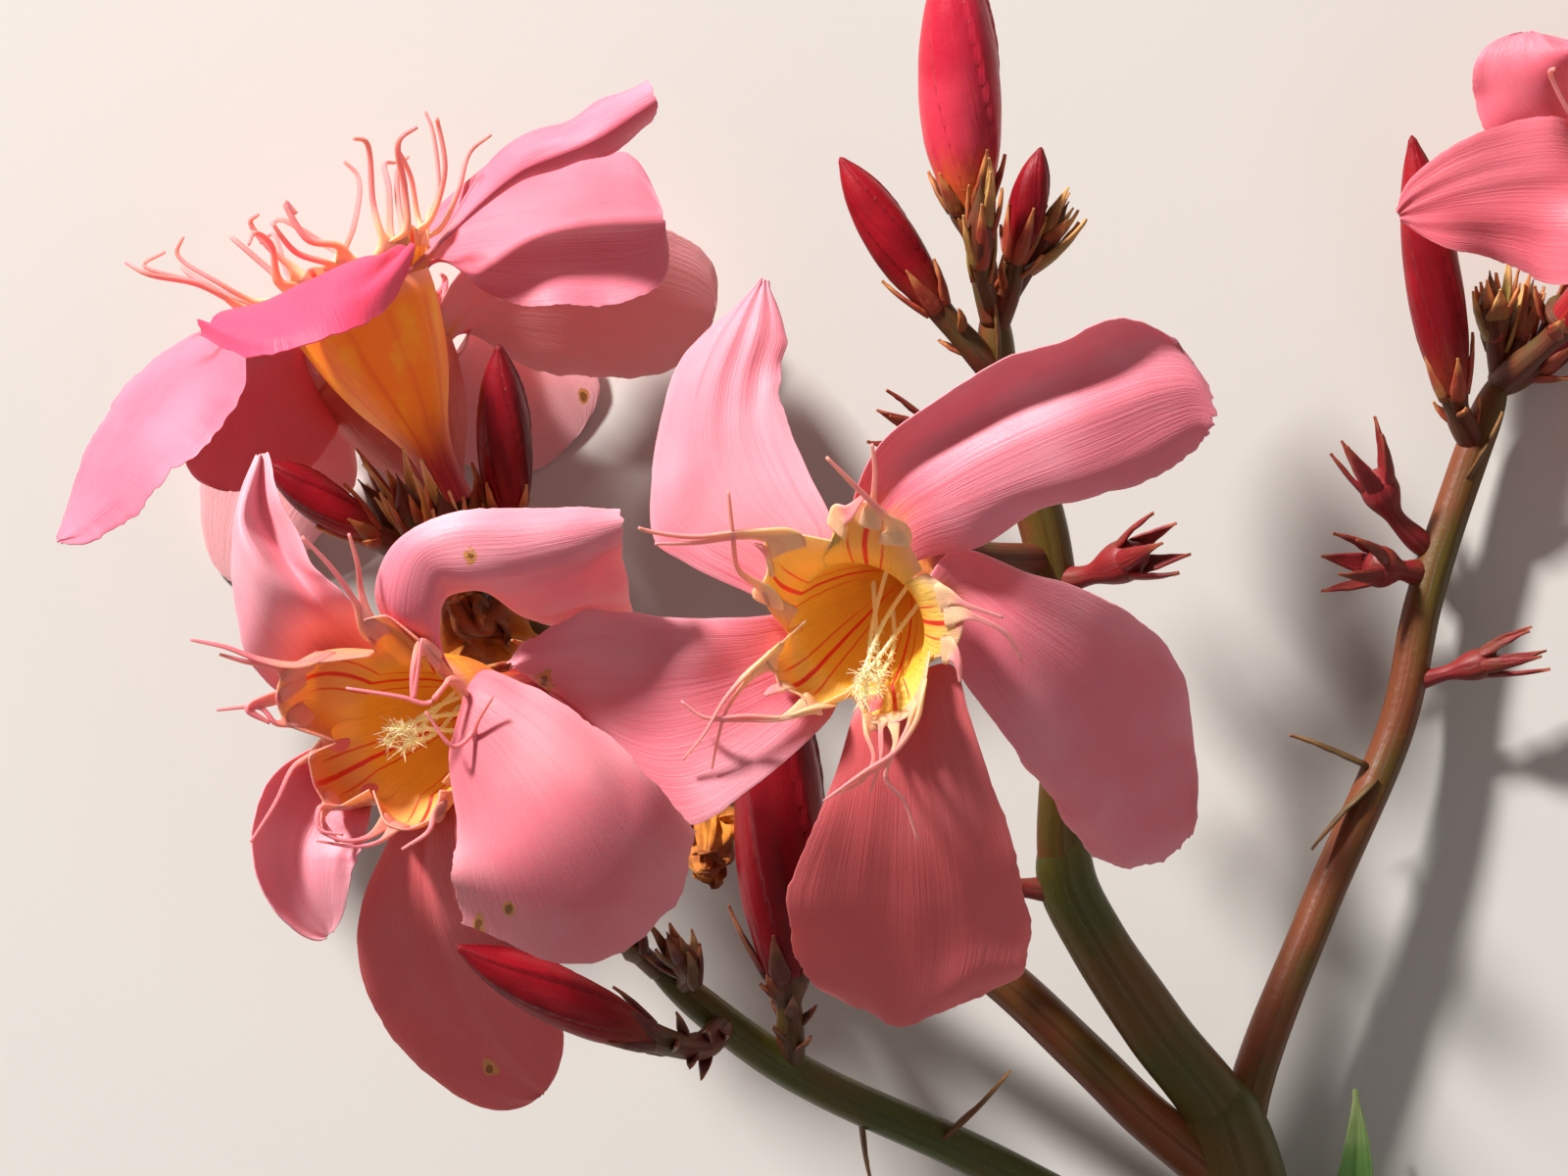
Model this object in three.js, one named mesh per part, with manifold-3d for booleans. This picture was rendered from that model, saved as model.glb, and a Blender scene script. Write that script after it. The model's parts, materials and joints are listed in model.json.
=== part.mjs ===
// A cut flowering spray of oleander, lying on its side.
// Five blooms, buds and spent calyxes stand on stalks along five thin stems that fork from one cut stem.
// Millimetres, +Z up. The spray rests on the plane z = 0.

import * as THREE from "three";
import Module from "manifold-3d";

const wasm = await Module();
wasm.setup();

// Places on the plan are read from straight above, from EYE_HEIGHT over the floor, and measured
// on the level plane at PLAN_HEIGHT. The third number is the height above the floor.
const PLAN_HEIGHT = 40;
const EYE_HEIGHT = 632.6;

// Clearance that touching pieces keep to each other.
const GAP = 0.3;

// Funnel of a bloom: its radii at even steps from base to mouth. It is hollow from THROAT_STATION on.
const FUNNEL_RADII = [1.5, 1.7, 3.2, 4.6, 5.4];
const FUNNEL_WALL = 0.65;
const FUNNEL_SIDES = 10;
const THROAT_STATION = 2;
const RIM_RADIUS = FUNNEL_RADII.at(-1);

// Petals leave the rim at PETAL_FLARE from the funnel's axis, from a root sunk into its wall.
const PETAL_COUNT = 5;
const PETAL_THICKNESS = 0.55;
const PETAL_ROOT_WIDTH = 0.4;
const PETAL_ROOT_CURL = 0.5;
const PETAL_FLARE = THREE.MathUtils.degToRad(38);
const PETAL_SINK = 0.8;
const PETAL_STEPS = 6;
const PETAL_CELLS = 4;

// Crown: one pointed tongue on the rim over each petal.
const SCALE = { wide: [2.3, 2.3], curl: [0.35, 0.35], peak: [0.15, 0.15], blunt: 1.1 };
const SCALE_LENGTH = 7;
const SCALE_THICKNESS = 0.5;
const SCALE_LEAN = THREE.MathUtils.degToRad(37);
const SCALE_INSET = 0.9;
const SCALE_SINK = 0.7;

// Sheets: how a petal, a tongue or a leaf bends and thins.
const SHEET_HANDLE = 0.3;
const SHEET_TURNED = 0.8;
const SHEET_CURLED = 0.35;
const SHEET_EDGE_THINNING = 0.3;
const SHEET_END_WIDTH = 0.1;
const LEAST_CURL = 0.02;
const FACE_AHEAD = 2;

// Stalks and calyxes of the blooms.
const STALK_RADIUS = 0.95;
const CALYX_DEPTH = 1.8;
const CALYX_WALL = 0.4;
const CALYX_FOOT = 1.2;
const SEPAL_LENGTH = 3.2;
const SEPAL_SPREAD = 1.3;
const SEPAL_THICKNESS = 0.25;
const SEAT_SLACK = 0.05;
const BRACT_RADII = [0.7, 0.09];
const BODY_SIDES = 10;
const YOUNG_SIDES = 8;

// Profiles: at runs from the foot of a body to its tip, radii are shares of its radius and teeth
// shares of its length.
const BUD_PROFILE = [
  { at: 0, radius: 0.7 },
  { at: 0.1, radius: 0.94, tooth: 0.3, toothRadius: 1.09 },
  { at: 0.1, radius: 0.8, tooth: 0.31, toothRadius: 0.98 },
  { at: 0.45, radius: 1 },
  { at: 0.62, radius: 0.93 },
  { at: 0.78, radius: 0.72 },
  { at: 0.91, radius: 0.4 },
  { at: 1, radius: 0.08 },
];
const BUD_NECK = 0.6;
const BUD_NECK_SHARE = 0.65;
const YOUNG_PROFILE = [
  { at: 0, radius: 0.7 },
  { at: 0.3, radius: 1 },
  { at: 0.45, radius: 0.95, tooth: 0.4, toothRadius: 0.9 },
  { at: 0.45, radius: 0.7, tooth: 0.36, toothRadius: 0.6 },
  { at: 1, radius: 0.12 },
];
const YOUNG_NECK = 0.6;
const SPENT_NECK = 0.5;
const SPENT_WAIST = 0.6;
const SPENT_RIM = 0.8;
const SPENT_HOLLOW = 0.4;
const SPENT_FLARE = 1.5;
const SPENT_SEPAL = 0.2;

const COLOURS = {
  wood: [0x6f6a2c, 0.62],
  petal: [0xe98a98, 0.55],
  stalk: [0x8c4a2c, 0.6],
  bud: [0xa81a2c, 0.42],
  young: [0x8a5a34, 0.6],
  spent: [0x96303a, 0.6],
  dried: [0xa8622a, 0.85],
  leaf: [0x7fa860, 0.55],
};

// Stems: the places they pass through, and their radii at even steps from foot to tip.
// A bract is [root, tip].
const STEMS = {
  main_stem: {
    way: [[36.3, -58, 3.45], [33, -47, 4.6], [29.9, -35.7, 8]],
    radii: [3.4, 3.2, 3, 3.1],
    sides: 12,
    steps: 4,
  },
  stem_middle_lower: {
    way: [[29.9, -35.7, 8], [25.3, -30, 11], [21.3, -24, 14], [19, -20, 15.5]],
    radii: [2.5, 2.3, 2.2, 2.3],
  },
  stem_middle_upper: {
    way: [[19, -20, 15.5], [19, -8, 18], [17.9, 3, 20.5], [14.8, 13.5, 22], [14.2, 19, 23]],
    radii: [1.8, 1.55, 1.6, 1.75, 1.35, 1.3],
    steps: 9,
    bracts: [[[14.7, 15, 23], [14.2, 20, 25]]],
  },
  stem_right: {
    way: [
      [29.9, -35.7, 8], [36.3, -22, 6.5], [41.7, -9.3, 5],
      [43.5, -1, 4.2], [46.2, 7.5, 3.6], [48.7, 14.3, 3],
    ],
    radii: [1.6, 1.35, 1.35, 1.4, 1.3, 1.3],
    steps: 10,
    bracts: [
      [[39.6, -12, 6], [34.4, -10, 8]],
      [[40.2, -13, 6.5], [35.9, -17.8, 8.5]],
      [[46.6, 7.5, 4.4], [48.9, 12, 6.5]],
    ],
  },
  stem_left: {
    way: [
      [31.5, -42, 6.2], [24, -35.3, 8.5], [15, -26.7, 11],
      [1.3, -16.5, 13], [-13.3, -6, 15], [-22, 0.8, 18],
    ],
    radii: [1.9, 1.7, 1.6, 1.5, 1.4],
    steps: 9,
  },
  stem_low: {
    way: [[33, -48.5, 4.8], [22, -43.3, 10], [12.7, -38.5, 15], [0, -32.5, 22], [-9, -25.7, 28]],
    radii: [1.8, 1.6, 1.5, 1.4, 1.2],
    steps: 9,
    bracts: [[[5.1, -35, 19], [5.9, -40.3, 18]], [[10.8, -37.6, 17], [15.4, -32.8, 20]]],
  },
};

// Blooms: turn is the angle of the first petal's root round the funnel's axis, in degrees.
// A petal's midline bends towards bend on its way from its root to tip, and its inner face looks
// towards face at the tip. wide, curl and peak, the place where it is widest, belong to the left and
// right halves seen from the throat. blunt is how square its end is.
const BLOOMS = {
  bloom_front: {
    base: [10, 2.7, 31], mouth: [5.2, -2.6, 45], turn: 12,
    petals: [
      {
        bend: [22, -4.8, 43], tip: [23.8, -18.4, 34], face: [-0.25, -0.45, 0.85],
        wide: [7.6, 6.8], curl: [-0.4, -0.2], peak: [0.6, 0.6], blunt: 3.6,
      },
      {
        bend: [21, 13.6, 51], tip: [29.2, 12.9, 48], face: [-0.1, 0.25, 1],
        wide: [7, 4.8], curl: [-0.8, 0.2], peak: [0.5, 0.5], blunt: 3,
      },
      {
        bend: [-7.6, 15, 49], tip: [-1.6, 21.2, 44], face: [-0.2, 0, 1],
        wide: [5.6, 6.2], curl: [0.1, -0.3], peak: [0.3, 0.24], blunt: 1.5,
      },
      {
        bend: [-10, -7.4, 42], tip: [-18.4, -5.2, 37], face: [-0.3, 0, 0.95],
        wide: [8.8, 6], curl: [-0.2, 0.1], peak: [0.42, 0.45], blunt: 2.2,
      },
      {
        bend: [8.6, -20, 41], tip: [8, -29.9, 34], face: [0, -0.35, 0.94],
        wide: [8.6, 8.2], curl: [-0.25, -0.3], peak: [0.66, 0.66], blunt: 2.2,
      },
    ],
  },
  bloom_left: {
    base: [-17, -6.3, 29.5], mouth: [-25, -9.7, 41.5], turn: 70,
    petals: [
      {
        bend: [-29, 8.4, 50], tip: [-10.9, 4, 42], face: [0.1, 0.85, 0.5],
        wide: [5, 9.5], curl: [-0.5, -1.2], peak: [0.5, 0.82], blunt: 5,
      },
      {
        bend: [-36.2, 0.5, 44], tip: [-35.4, 9, 39], face: [-0.3, 0.1, 0.9],
        wide: [4.4, 5.4], curl: [0.2, 1.3], peak: [0.4, 0.4], blunt: 1.5,
      },
      {
        bend: [-35.8, -18, 44], tip: [-31, -23.6, 41], face: [0.45, 0.2, 0.85],
        wide: [5, 5], curl: [1.2, 1.3], peak: [0.5, 0.5], blunt: 2,
      },
      {
        bend: [-24, -29, 33], tip: [-16.4, -34.4, 30], face: [-0.1, -0.4, 0.85],
        wide: [6.6, 5.6], curl: [-0.3, 0.1], peak: [0.55, 0.55], blunt: 2.4,
      },
      {
        bend: [-13.6, -16, 51], tip: [-8, -22.4, 44], face: [0.2, -0.1, 1],
        wide: [7.4, 8.4], curl: [-0.5, -0.5], peak: [0.35, 0.35], blunt: 3.4, root: 0.6,
      },
    ],
  },
  bloom_upper: {
    base: [-22.1, 5.3, 22], mouth: [-28.8, 19.7, 21], turn: -110,
    petals: [
      {
        bend: [-32.4, 21, 38], tip: [-33.8, 16.6, 43], face: [-0.3, 0.8, 0.5],
        wide: [8, 8], curl: [-0.3, -0.3], peak: [0.5, 0.5], blunt: 3,
      },
      {
        bend: [-15.6, 30.4, 25], tip: [-8.7, 34, 24], face: [-0.45, 0.85, 0.2],
        wide: [5.5, 5.5], curl: [0.3, -0.6], peak: [0.6, 0.6], blunt: 3,
      },
      {
        bend: [-14, 25, 19], tip: [-8.2, 25, 17], face: [-0.15, 0.6, 0.75],
        wide: [7.5, 7.5], curl: [-0.1, -0.2], peak: [0.65, 0.65], blunt: 3,
      },
      {
        bend: [-36.6, 12, 15.5], tip: [-37.6, 6.6, 14], face: [-0.4, 0.3, -0.85],
        wide: [6, 6], curl: [-0.2, -0.2], peak: [0.6, 0.6], blunt: 2.4,
      },
      {
        bend: [-43.6, 11, 22], tip: [-49.4, 3.4, 20], face: [-0.65, 0.5, 0.6],
        wide: [7.8, 7], curl: [-0.3, -0.3], peak: [0.35, 0.35], blunt: 1.9,
      },
    ],
  },
  bloom_back: {
    base: [-21.3, 3.2, 13.5], mouth: [-27.2, 14.6, 9.25], turn: 60, crown: 0.4,
    petals: [
      {
        bend: [-19, 14, 2.4], tip: [-14.2, 10.2, 0.4], face: [0, 0.1, -1],
        wide: [6, 6.5], curl: [0, 0], peak: [0.5, 0.5], blunt: 3,
      },
      {
        bend: [-35, 7, 2.6], tip: [-37.4, 0.4, 0.4], face: [0, 0, -1],
        wide: [5.4, 5.4], curl: [0, 0], peak: [0.5, 0.5], blunt: 2,
      },
      {
        bend: [-36.4, 13, 9], tip: [-37, 7.6, 6.4], face: [-0.2, 0, -1],
        wide: [5, 5], curl: [0.1, 0.1], peak: [0.5, 0.5], blunt: 2.4,
      },
      {
        bend: [-29, 20.6, 12], tip: [-31, 20.4, 4], face: [0, -0.6, -1],
        wide: [5, 5], curl: [0.1, 0.1], peak: [0.5, 0.5], blunt: 2.4,
      },
      {
        bend: [-12, 19.6, 7], tip: [-4.8, 18.4, 4], face: [0.2, 0.2, -1],
        wide: [6.4, 6], curl: [0.5, 0], peak: [0.6, 0.6], blunt: 3,
      },
    ],
  },
  bloom_right: {
    base: [53.3, 18.3, 8], mouth: [60, 27.3, 17.5], turn: 9,
    petals: [
      {
        bend: [72, 26, 14], tip: [77.5, 20.5, 6], face: [0.3, -0.1, 0.9],
        wide: [7, 7], curl: [-0.3, -0.2], peak: [0.6, 0.6], blunt: 2.6,
      },
      {
        bend: [65.4, 38, 11], tip: [68, 41.5, 2], face: [0.1, 0.6, 0.7],
        wide: [7, 7], curl: [-0.3, -0.2], peak: [0.6, 0.6], blunt: 2.6,
      },
      {
        bend: [50, 33, 25], tip: [50.6, 37.8, 22], face: [-0.3, -0.2, 0.9],
        wide: [5.4, 5.4], curl: [-0.2, -0.3], peak: [0.5, 0.5], blunt: 2.6,
      },
      {
        bend: [48.8, 28.4, 25], tip: [41.8, 25.4, 22], face: [-0.15, -0.25, 0.95],
        wide: [7.2, 5.2], curl: [-0.3, -0.2], peak: [0.3, 0.35], blunt: 1.8,
      },
      {
        bend: [64, 14.5, 22], tip: [63, 8.5, 17], face: [0, -0.3, 0.95],
        wide: [6.5, 6.5], curl: [-0.2, -0.2], peak: [0.6, 0.6], blunt: 2.6,
      },
    ],
  },
};

// Stalks of the blooms: the places from the stem to the foot of the funnel.
const STALKS = {
  stalk_front: { bloom: "bloom_front", way: [[18, 2, 20], [14, 2.2, 26]] },
  stalk_left: { bloom: "bloom_left", way: [[-12, -7, 14.8], [-13.5, -6, 23]] },
  stalk_upper: { bloom: "bloom_upper", way: [[-21, 0.2, 17.6], [-21.6, 2, 20]] },
  stalk_back: { bloom: "bloom_back", way: [[-18, -2.2, 16.6], [-20, -0.3, 16]] },
  stalk_right: { bloom: "bloom_right", way: [[48.6, 14, 3], [50.5, 15.5, 5.5]] },
};

// Buds: way runs from the stem to the foot of the bud, tip is its point.
const BUDS = {
  bud_top_large: {
    way: [[14.3, 18, 23], [13.4, 22.5, 24.5]], foot: [12.6, 26, 25],
    tip: [11.5, 44.2, 28], radius: 2.9,
  },
  bud_top_side: {
    way: [[14.8, 14, 22.2], [12.8, 16.4, 23.5]], foot: [10.3, 19.3, 24.5],
    tip: [3.8, 29.3, 26], radius: 1.8,
  },
  bud_top_small: {
    way: [[14.4, 17.5, 22.8], [15.4, 20.5, 24.5]], foot: [15.8, 22.6, 25.5],
    tip: [17.5, 30, 27], radius: 1.35,
  },
  bud_left_dark: {
    way: [[-20, -0.9, 17], [-19.2, 2.2, 21]], foot: [-18.8, 4.6, 23.5],
    tip: [-19.4, 16.6, 27.5], radius: 1.95,
  },
  bud_left_red: {
    way: [[-21.5, 0.5, 17.8], [-25.5, 2.2, 23]], foot: [-28.3, 3.8, 26.5],
    tip: [-35.2, 8.6, 29.5], radius: 1.6,
  },
  bud_low_side: {
    way: [[-4.2, -29.8, 25], [-5.8, -31.2, 31]], foot: [-9.4, -30.4, 36.5],
    tip: [-22.3, -24.4, 42], radius: 2.2,
  },
  bud_low_large: {
    way: [[0.5, -32.6, 21.8], [0.4, -29.6, 24.5]], foot: [0.2, -26, 26.5],
    tip: [0.2, -4, 32], radius: 3,
  },
  bud_right_long: {
    way: [[47, 9.6, 3.5], [46, 11.5, 5]], foot: [45.5, 13.4, 6.5],
    tip: [42.7, 30.8, 9.5], radius: 2.05,
  },
  bud_right_dark: {
    way: [[48.5, 13.8, 3], [50, 14.4, 2.6]], foot: [51.4, 15.3, 2.3],
    tip: [57, 22.8, 2.6], radius: 1.9,
  },
};

// Young buds: wholly wrapped in their sepals.
const YOUNG_BUDS = {
  young_top_right: { way: [[14.4, 18.2, 23], [17, 22.5, 24]], tip: [19.4, 26.3, 25], radius: 1.05 },
  young_top_left: { way: [[14.3, 18.5, 23], [13.4, 22, 27.6]], tip: [13.4, 28, 30.5], radius: 1.05 },
  young_left_1: { way: [[-22, 0.8, 18], [-25.5, 3.4, 21]], tip: [-29, 7.4, 24], radius: 1.1 },
  young_left_2: { way: [[-22, 0.8, 18], [-24.6, 3.6, 23.5]], tip: [-26.4, 7.8, 27], radius: 1.1 },
  young_left_3: { way: [[-22, 0.8, 18], [-22.2, 2.8, 24]], tip: [-23.6, 6.8, 29], radius: 1 },
  young_low_1: { way: [[-8.6, -26, 27.8], [-10.4, -24.3, 30]], tip: [-12.6, -21.8, 32], radius: 1.3 },
  young_low_2: { way: [[-7, -27.2, 26.8], [-5.6, -25.8, 29]], tip: [-5.2, -22.8, 32], radius: 1.1 },
  young_right_1: { way: [[48.7, 14.3, 3], [48.4, 17, 4.6]], tip: [48, 21.6, 6.2], radius: 1.3 },
  young_right_2: { way: [[48.7, 14.3, 3], [49.8, 17, 3.2]], tip: [51, 21, 3.4], radius: 1.15 },
};

// Spent calyxes: way runs from the stem through the waist to the rim, and horn is how far the
// sepals stand out.
const SPENT_CALYXES = {
  spent_right_1: { way: [[42.4, -6.5, 4.7], [45, -5.8, 5.2], [48.6, -4.8, 6]], radius: 1.1, horn: 3.2 },
  spent_right_2: { way: [[43.4, 1, 4], [42, 1.2, 5.6], [39.7, 1.6, 7]], radius: 1.5, horn: 3 },
  spent_right_3: { way: [[43.8, 2.6, 4], [41.6, 4.8, 5.6], [40, 7.8, 6.6]], radius: 1.4, horn: 3 },
  spent_middle: { way: [[18.4, 0.4, 20], [20.8, 0.9, 22], [24.4, 2.4, 24.5]], radius: 1.5, horn: 2.8 },
  spent_top: { way: [[16.4, 8.4, 21.2], [12, 9.4, 22.4], [8.6, 10.6, 24]], radius: 1.3, horn: 2.6 },
  spent_low: { way: [[19, -20.6, 15.4], [16, -20.4, 15.8], [13.4, -20.6, 17]], radius: 1.4, horn: 2.6 },
};

// Withered flowers: a crumpled, lobed mass along way.
const DRIED = {
  dried_left: {
    way: [[-16, -3.9, 15.6], [-18.6, -3.4, 19], [-21.8, -2.6, 23], [-23, 0.2, 26]],
    radii: [0.7, 1.2, 2.4, 2.3, 1.5, 0.5],
  },
  dried_low: {
    way: [[-5.6, -11.5, 14], [-5.6, -14, 19], [-5.2, -16.6, 24], [-5.4, -19.4, 28]],
    radii: [0.7, 0.9, 1.7, 2, 1.6, 0.5],
  },
};
const DRIED_LOBES = 3;
const DRIED_CRUMPLE = 0.32;
const DRIED_TWIST = 9;

const LEAF = {
  root: [35.8, -54, 5.4], bend: [39.4, -42, 5.8], tip: [38.9, -34.1, 4.6], face: [0.1, 0, 1],
  wide: [2.4, 2.4], curl: [0.3, 0.3], peak: [0.35, 0.35], blunt: 1.25,
};
const LEAF_THICKNESS = 0.6;
const LEAF_STEPS = 6;
const LEAF_CELLS = 2;

/** A place on the plan as a point in space. */
function seen([x, y, height]) {
  const nearness = (EYE_HEIGHT - height) / (EYE_HEIGHT - PLAN_HEIGHT);
  return new THREE.Vector3(x * nearness, y * nearness, height);
}

/** Reads a list of evenly spaced values at t from 0 to 1, in straight steps. */
function sample(values, t) {
  const place = t * (values.length - 1);
  const index = Math.min(Math.floor(place), values.length - 2);
  return THREE.MathUtils.lerp(values[index], values[index + 1], place - index);
}

/** Closes a row of rings, each with the same even number of points, into one solid. */
function loft(rings) {
  const count = rings[0].length;
  const last = (rings.length - 1) * count;
  const corners = [];
  for (let ring = 0; ring < rings.length - 1; ring += 1) {
    for (let i = 0; i < count; i += 1) {
      const a = ring * count + i;
      const b = ring * count + ((i + 1) % count);
      corners.push(a, b, b + count, a, b + count, a + count);
    }
  }
  for (let i = 0; i < count / 2 - 1; i += 1) {
    const [a, b, c, d] = [i, i + 1, count - 2 - i, count - 1 - i];
    corners.push(a, c, b, a, d, c);
    corners.push(last + a, last + b, last + c, last + a, last + c, last + d);
  }
  const vertProperties = new Float32Array(rings.flat().flatMap((point) => point.toArray()));
  const mesh = new wasm.Mesh({ numProp: 3, vertProperties, triVerts: new Uint32Array(corners) });
  return new wasm.Manifold(mesh);
}

/**
 * A solid along points, with a ring at each station. A station's at counts control points from the
 * first. Every second corner of a ring stands tooth ahead of it at toothRadius, so a rim can be cut
 * into teeth. An inner station is the wall of a hollow.
 */
function turned(points, stations, sides, grow = 0, shape = () => 1) {
  const curve = new THREE.CatmullRomCurve3(points);
  const spans = points.length - 1;
  const overall = points.at(-1).clone().sub(points[0]).normalize();
  const reference = Math.abs(overall.z) < 0.9 ? new THREE.Vector3(0, 0, 1) : new THREE.Vector3(1, 0, 0);
  const rings = stations.map(({ at, radius, tooth = 0, toothRadius = radius, inner = false }, index) => {
    const t = at / spans;
    const tangent = curve.getTangent(t);
    const normal = reference.clone().addScaledVector(tangent, -reference.dot(tangent)).normalize();
    const binormal = tangent.clone().cross(normal);
    const isEnd = index === stations.length - 1 && !inner;
    const centre = curve.getPoint(t).addScaledVector(tangent, isEnd ? grow : index === 0 ? -grow : 0);
    return Array.from({ length: sides }, (_, side) => {
      const angle = ((side + 0.5) / sides) * 2 * Math.PI;
      const pointed = side % 2 === 0;
      const reach = (pointed ? toothRadius : radius) * shape(angle, t) + (inner ? -grow : grow);
      return centre.clone()
        .addScaledVector(tangent, pointed ? tooth : 0)
        .addScaledVector(normal, Math.cos(angle) * reach)
        .addScaledVector(binormal, Math.sin(angle) * reach);
    });
  });
  return loft(rings);
}

/** A round, tapering limb along points, with radii at even steps. */
function limb(points, radii, { sides = 8, steps = points.length, grow = 0, shape } = {}) {
  const stations = Array.from({ length: steps + 1 }, (_, step) => ({
    at: (step / steps) * (points.length - 1),
    radius: sample(radii, step / steps),
  }));
  return turned(points, stations, sides, grow, shape);
}

/** Share of a petal's full half width at t along it: it opens to its peak and rounds off at its end. */
function petalOutline(t, rootWidth, peak, blunt) {
  if (t < peak) {
    return rootWidth + (1 - rootWidth) * THREE.MathUtils.smoothstep(t, 0, peak);
  }
  const run = (t - peak) / (1 - peak);
  return Math.max((1 - run ** blunt) ** (1 / blunt), SHEET_END_WIDTH);
}

/** The way a sheet's inner face looks at its root: square to lead and towards centre. */
function rootNormal(lead, root, centre) {
  const normal = centre.clone().sub(root);
  return normal.addScaledVector(lead, -normal.dot(lead)).normalize();
}

/**
 * A thin curved sheet: its midline is a cubic Bezier that leaves root along lead and comes to tip
 * from bend. Its inner face looks towards centre at the root and along face at the tip. Across it
 * each half is an arc that curls by its own angle, upwards where the angle is positive.
 */
function sheet({ root, lead, bend, tip, centre, face, wide, curl, peak, blunt, ...rest }, grow) {
  const { rootWidth, rootCurl, thickness, steps, cells } = rest;
  const handle = root.clone().addScaledVector(lead, SHEET_HANDLE * root.distanceTo(tip));
  const midline = new THREE.CubicBezierCurve3(root, handle, bend, tip);
  const rings = [];
  for (let step = 0; step <= steps; step += 1) {
    const t = Math.sin((0.5 * Math.PI * step) / steps);
    const middle = midline.getPoint(t);
    const tangent = midline.getTangent(t);
    const turnedShare = THREE.MathUtils.smoothstep(t, 0, SHEET_TURNED);
    const normal = rootNormal(lead, root, centre).lerp(face, turnedShare);
    normal.addScaledVector(tangent, -normal.dot(tangent)).normalize();
    const across = tangent.clone().cross(normal);
    const inner = [];
    const outer = [];
    for (let cell = 0; cell <= cells; cell += 1) {
      const v = (2 * cell) / cells - 1;
      const hand = v < 0 ? 0 : 1;
      const half = wide[hand] * petalOutline(t, rootWidth, peak[hand], blunt) + grow;
      const curled = THREE.MathUtils.smoothstep(t, 0, SHEET_CURLED);
      const turn = THREE.MathUtils.lerp(rootCurl, curl[hand], curled);
      const angle = Math.abs(turn) < LEAST_CURL ? LEAST_CURL : turn;
      const place = middle.clone()
        .addScaledVector(across, (half * Math.sin(angle * v)) / angle)
        .addScaledVector(normal, (half * (1 - Math.cos(angle * v))) / angle);
      const lift = normal.clone()
        .multiplyScalar(Math.cos(angle * v))
        .addScaledVector(across, -Math.sin(angle * v));
      const skin = 0.5 * thickness * (1 - SHEET_EDGE_THINNING * v * v) + grow;
      inner.push(place.clone().addScaledVector(lift, skin));
      outer.push(place.clone().addScaledVector(lift, -skin));
    }
    rings.push([...inner, ...outer.reverse()]);
  }
  return loft(rings);
}

function joined(bodies) {
  return wasm.Manifold.union(bodies);
}

/** The funnel's own directions: along its axis, and two across it. */
function funnelFrame({ base, mouth }) {
  const foot = seen(base);
  const rim = seen(mouth);
  const axis = rim.clone().sub(foot).normalize();
  const right = new THREE.Vector3(1, 0, 0);
  right.addScaledVector(axis, -right.dot(axis)).normalize();
  return { foot, rim, axis, right, up: axis.clone().cross(right) };
}

function makeFunnel({ foot, rim, axis, right, up }, grow) {
  const stations = FUNNEL_RADII.map((radius, index) => [index / (FUNNEL_RADII.length - 1), radius + grow]);
  const inner = stations.slice(THROAT_STATION).map(([t, radius]) => [t, radius - FUNNEL_WALL - 2 * grow]);
  const outline = [...stations, ...inner.reverse()];
  const rings = outline.map(([t, radius], index) => {
    const centre = foot.clone().lerp(rim, t);
    if (index === 0) {
      centre.addScaledVector(axis, -grow);
    }
    const ring = [];
    for (let side = 0; side < FUNNEL_SIDES; side += 1) {
      const angle = (side / FUNNEL_SIDES) * 2 * Math.PI;
      const point = centre.clone().addScaledVector(right, Math.cos(angle) * radius);
      ring.push(point.addScaledVector(up, Math.sin(angle) * radius));
    }
    return ring;
  });
  return loft(rings);
}

/** A direction that leans from the funnel's axis outwards by an angle. */
function leaning(axis, radial, angle) {
  return axis.clone().multiplyScalar(Math.cos(angle)).addScaledVector(radial, Math.sin(angle));
}

/** A root on the rim: inset from it towards the axis, and sunk into the wall against lead. */
function rimRoot({ rim, axis }, radial, lead, inset, sink) {
  return {
    root: rim.clone().addScaledVector(radial, RIM_RADIUS - inset).addScaledVector(lead, -sink),
    centre: rim.clone().addScaledVector(axis, FACE_AHEAD),
  };
}

/** One tongue of the crown, which leans out over its petal. */
function makeScale(frame, radial, length, grow) {
  const lead = leaning(frame.axis, radial, SCALE_LEAN);
  const { root, centre } = rimRoot(frame, radial, lead, SCALE_INSET, SCALE_SINK);
  const tip = root.clone().addScaledVector(lead, length);
  return sheet({
    ...SCALE, root, centre, lead, bend: root.clone().lerp(tip, 0.6), tip,
    face: rootNormal(lead, root, centre), rootWidth: 1, rootCurl: 0.4,
    thickness: SCALE_THICKNESS, steps: 2, cells: 2,
  }, grow);
}

function makePetal(frame, radial, petal, grow) {
  const lead = leaning(frame.axis, radial, PETAL_FLARE);
  const { root, centre } = rimRoot(frame, radial, lead, 0.5 * FUNNEL_WALL, PETAL_SINK);
  return sheet({
    ...petal, root, centre, lead, bend: seen(petal.bend), tip: seen(petal.tip),
    face: new THREE.Vector3(...petal.face).normalize(),
    rootWidth: petal.root ?? PETAL_ROOT_WIDTH, rootCurl: PETAL_ROOT_CURL,
    thickness: PETAL_THICKNESS, steps: PETAL_STEPS, cells: PETAL_CELLS,
  }, grow);
}

function makeBloom({ turn, petals, crown = 1, ...place }, grow = 0) {
  const frame = funnelFrame(place);
  const bodies = [makeFunnel(frame, grow)];
  petals.forEach((petal, index) => {
    const azimuth = THREE.MathUtils.degToRad(turn) + (index / PETAL_COUNT) * 2 * Math.PI;
    const radial = leaning(frame.right, frame.up, azimuth);
    bodies.push(makePetal(frame, radial, petal, grow));
    bodies.push(makeScale(frame, radial, SCALE_LENGTH * crown, grow));
  });
  return joined(bodies);
}

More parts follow.
